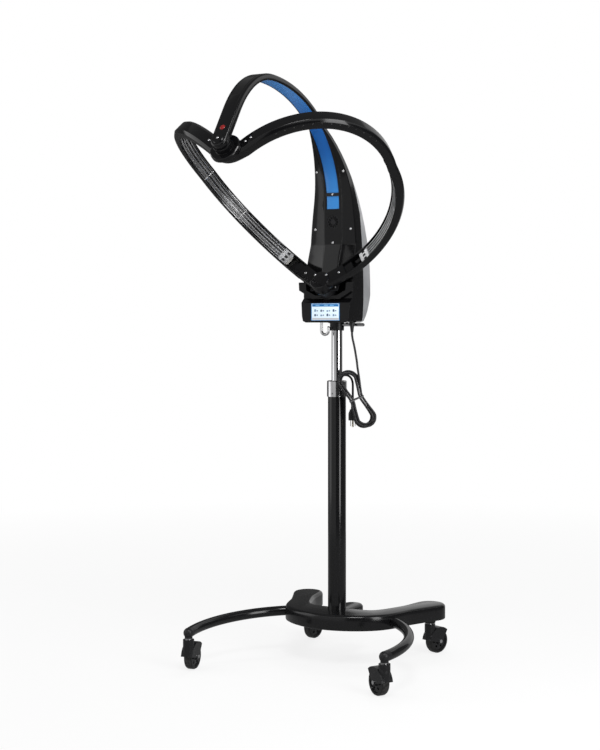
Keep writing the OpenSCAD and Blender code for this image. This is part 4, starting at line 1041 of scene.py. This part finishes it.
heat = radians(70)
tray = mirrored([(17.2, 8), (17.2, -2.2), (9, -8.6)])
tray += mirrored([(16.2, 8), (16.2, -1.8), (8.6, -7.6)])[::-1]
reflectors = Shape()
for side in (-1, 1):
    reflectors.rings(carried(lobe_line(side, -heat, heat, 90), tray))
reflectors = reflectors.add("reflector_trays", polished_tray(), "ring", "reflector", 20)
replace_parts(reflectors, "reflector")


# Heaters: two clear quartz tubes in each tray with a coil of dull resistance wire inside. White
# ceramic blocks hold their ends.
def quartz_glass():
    made = Finish("quartz_glass")
    cloud = made.noise(90, 3)
    return made.surface(
        Base_Color=cloud.blend((0.16, 0.162, 0.165), (0.26, 0.26, 0.26)),
        Roughness=0.07 + 0.06 * cloud,
        Alpha=0.5 + 0.1 * cloud,
    )


tube_stop = heat - radians(2.6)
block = [
    (-15, 6.4), (-15, -1), (-8, -6.5), (8, -6.5), (15, -1), (15, 6.4), (14.4, 7), (-14.4, 7),
]
coil_r, coil_steps = 2, 7
tubes, coils, blocks = Shape(), Shape(), Shape()
for side in (-1, 1):
    for x in (-7, 7):
        tubes.rings(carried(lobe_line(side, -tube_stop, tube_stop, 70), circle(4, 16, x)))
        coil = []
        for i, (p, *ways) in enumerate(lobe_line(side, -tube_stop, tube_stop, 2100)):
            t = tau * i / coil_steps
            spot = p + (x + coil_r * cos(t)) * ways[0] + coil_r * sin(t) * ways[1]
            coil.append((spot, *ways))
        coils.rings(carried(coil, circle(0.5, 3)))
    for end in (-1, 1):
        span = lobe_line(side, end * radians(67.5), end * radians(71.8), 3)
        blocks.rings(carried(span, block))
coil_wire = grained(
    "coil_wire", (60, 3), (0.12, 0.116, 0.11), (0.2, 0.19, 0.18), 0.6, 0.2, Metallic=0.4
)
ceramic = grained(
    "ceramic_block", (300, 3), (0.6, 0.59, 0.55), (0.76, 0.75, 0.71), 0.5, 0.2, (0.0003, 0.3)
)
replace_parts(tubes.add("quartz_tubes", quartz_glass(), "ring", "quartz"), "heater_tubes")
coils.add("heater_coils", coil_wire, "ring", "steel", 80)
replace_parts(blocks.add("ceramic_blocks", ceramic, "ring", "ceramic"), "tube_holders")

# End plates: a bright plate with three square windows is clipped over each end of a tray. A black
# pad behind each window is painted shade, a dark block that makes the windows look dark.
plates, pads = Shape(), Shape()
stops = (-17.6, -15, -8, -3.6, 3.6, 8, 15, 17.6)
wide, layer = len(stops), 4 * len(stops)
windows = (1, 3, 5)


def joined(line):
    """Faces between the plate's two layers, along a closed line of its first layer."""
    return [(p, q, q + layer, p + layer) for p, q in zip(line, line[1:] + line[:1])]


for side in (-1, 1):
    for end in (-1, 1):
        start = len(plates.points)
        rows = lobe_line(side, end * radians(66.2), end * radians(72.1), 3)
        for depth in (8.3, 9.1):
            for line in carried(rows, [(x, depth) for x in stops]):
                plates.points += [0.001 * p for p in line]
        for row, column in ((i, j) for i in range(3) for j in range(wide - 1)):
            a = start + row * wide + column
            around = [a, a + 1, a + 1 + wide, a + wide]
            if row == 1 and column in windows:
                plates.faces += joined(around)
                left, right = stops[column] - 0.8, stops[column + 1] + 0.8
                # Painted shade: a black block behind the window, so that the window looks dark.
                window_shade_block = [(left, 7.2), (right, 7.2), (right, 8.25), (left, 8.25)]
                span = lobe_line(side, end * radians(67.9), end * radians(70.4), 2)
                pads.rings(carried(span, window_shade_block))
            else:
                plates.faces += [tuple(around), tuple(k + layer for k in around)]
        rim = [*range(wide), 2 * wide - 1, 3 * wide - 1, *range(layer - 1, layer - 1 - wide, -1)]
        plates.faces += joined([start + k for k in (*rim, 2 * wide, wide)])
plate_metal = plated("end_plate_metal", 0.6, 0.88, 0.22, 200)
plates.add("end_plates", plate_metal, "ring", "reflector", 30)
pads.add("end_plate_window_shade", black_nylon("window_shade_black", 0.5), "ring", "black_plastic", 30)

# Wire guard: four long wires and five cross wires in each lobe, spot welded and chromed, clipped
# over the tray so that hair and hands stay off the tubes.
guard = Shape()
wire_stop = radians(66)
for side in (-1, 1):
    for x in (-12, -4, 4, 12):
        guard.rings(carried(lobe_line(side, -wire_stop, wire_stop, 70), circle(1, 8, x, 10.6)))
    for share in (-1, -0.5, 0, 0.5, 1):
        a = share * (wire_stop - 0.004)
        p, across, inward, along = lobe_line(side, a - 0.02, a + 0.02, 2)[1]
        cross_wire = []
        for x, d in ((-17.8, 8.8), (-16, 9.4), (16, 9.4), (17.8, 8.8)):
            middle = p + x * across + d * inward
            cross_wire.append([
                ring_frame @ (middle + c * along + s * inward) for c, s in circle(1, 8)
            ])
        guard.rings(cross_wire)
guard_chrome = plated("guard_chrome", 0.6, 0.86, 0.34, 60)
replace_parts(guard.add("guard_wires", guard_chrome, "ring", "chrome"), "wire_guard")


# Studio: a pale paper floor runs into a white room. A broad lamp hangs above, a dim one stands on
# the left, a tall narrow one on the right, and a strip behind lights the edges but not the gloss.
# Grey and black cards stand round them, and only the gloss sees these.
class Room(Finish):
    """The world's light, built up from its nodes as a finish is."""

    def __init__(self, name):
        world = bpy.data.worlds.new(name)
        bpy.context.scene.world = world
        world.use_nodes = True
        self.tree = world.node_tree
        self.shader = self.tree.nodes["Background"]


def ray(place, kind):
    """1 for the rays of one kind: Camera, Glossy or Transmission."""
    return place.node("ShaderNodeLightPath", {}, {}, f"Is {kind} Ray")


def shows_white(place, light, share, level=1.0):
    """Lets a finish or the room show white light for a share, and its own shader for the rest."""
    own = Term(place, place.shader.outputs[0])
    white = place.node(light, {}, {"Color": (1, 1, 1), "Strength": level})
    both = place.node("ShaderNodeMixShader", {}, {0: share, 1: own, 2: white})
    output = next(node for node in place.tree.nodes if node.name.endswith("Output"))
    place.feed(output.inputs["Surface"], both)


room = Room("white_room").surface(Color=(1, 1, 1), Strength=0.45)
in_view = ray(room, "Camera")
for kind in ("Glossy", "Transmission"):
    in_view = in_view.maths("MAXIMUM", in_view, ray(room, kind))
shows_white(room, "ShaderNodeBackground", in_view)


def soft_lamp(name, place, aim, size, power, in_gloss=True):
    data = bpy.data.lights.new(name, "AREA")
    data.shape = "RECTANGLE"
    data.size, data.size_y = size
    data.energy = power
    made = placed(name, data)
    made.location = place
    made.rotation_euler = (Vector(aim) - Vector(place)).to_track_quat("-Z", "Y").to_euler()
    made.visible_camera = False
    made.visible_glossy = in_gloss


def sheet(name, points, faces, finish):
    mesh = bpy.data.meshes.new(name)
    mesh.from_pydata(points, [], faces)
    mesh.materials.append(finish.material)
    made = placed(name, mesh)
    return made


def level_square(half, height):
    corners = ((-half, -half), (half, -half), (half, half), (-half, half))
    return [(*p, height) for p in corners], [(0, 1, 2, 3)]


def card(name, points, faces, level):
    """A card of the studio, which only the gloss sees."""
    paint = Finish(name)
    shows_white(paint, "ShaderNodeEmission", 1.0, level)
    made = sheet(name, points, faces, paint)
    made.visible_camera = made.visible_diffuse = False
    made.visible_shadow = made.visible_transmission = False


def standing_card(name, first, last, level, high=1.85, reach=2.4):
    """A curved card from one bearing to another, where 0 is the front and 90 the right."""
    line = arc(0, 0, reach, first - 90, last - 90, max(2, round((last - first) / 6)))
    points = [(x, y, z) for x, y in line for z in (0, high)]
    faces = [(2 * i, 2 * i + 2, 2 * i + 3, 2 * i + 1) for i in range(len(line) - 1)]
    card(name, points, faces, level)


soft_lamp("over", (0.9, -1.6, 2.9), (0, -0.1, 0.9), (0.9, 0.9), 30)
soft_lamp("rim", (-0.5, 1.5, 2.7), (0, -0.1, 1.1), (1.5, 0.3), 12, False)
soft_lamp("left", (-1.9, -0.95, 1.15), (0, 0, 0.9), (1.5, 2.0), 8)
soft_lamp("right", (1.95, -0.85, 1.1), (0, 0, 0.9), (0.7, 2.0), 26)
standing_card("left_card", -88, 14, 0.5)
standing_card("front_card", 14, 80, 0.02)
standing_card("side_card", 80, 158, 0.08)
standing_card("rear_card", 158, 206, 0.6, 3.4)
standing_card("far_card", 206, 272, 0.08, 3.4)
card("ceiling_card", *level_square(3, 3.4), 0.2)
card("floor_card", *level_square(3, 0.001), 0.3)

paper = Finish("floor_paper")
speck = paper.noise(30, 3).blend((0.93, 0.93, 0.93), (0.96, 0.96, 0.96))
paper.surface(Base_Color=speck, Roughness=0.9)
away = paper.vector("DISTANCE", paper.place, (0, 0, 0), 1).above(0.9, 3.5)
shows_white(paper, "ShaderNodeEmission", ray(paper, "Camera") * (0.8 + 0.2 * away))
sheet("floor", *level_square(6, 0), paper)

bpy.context.scene.view_settings.view_transform = "Standard"
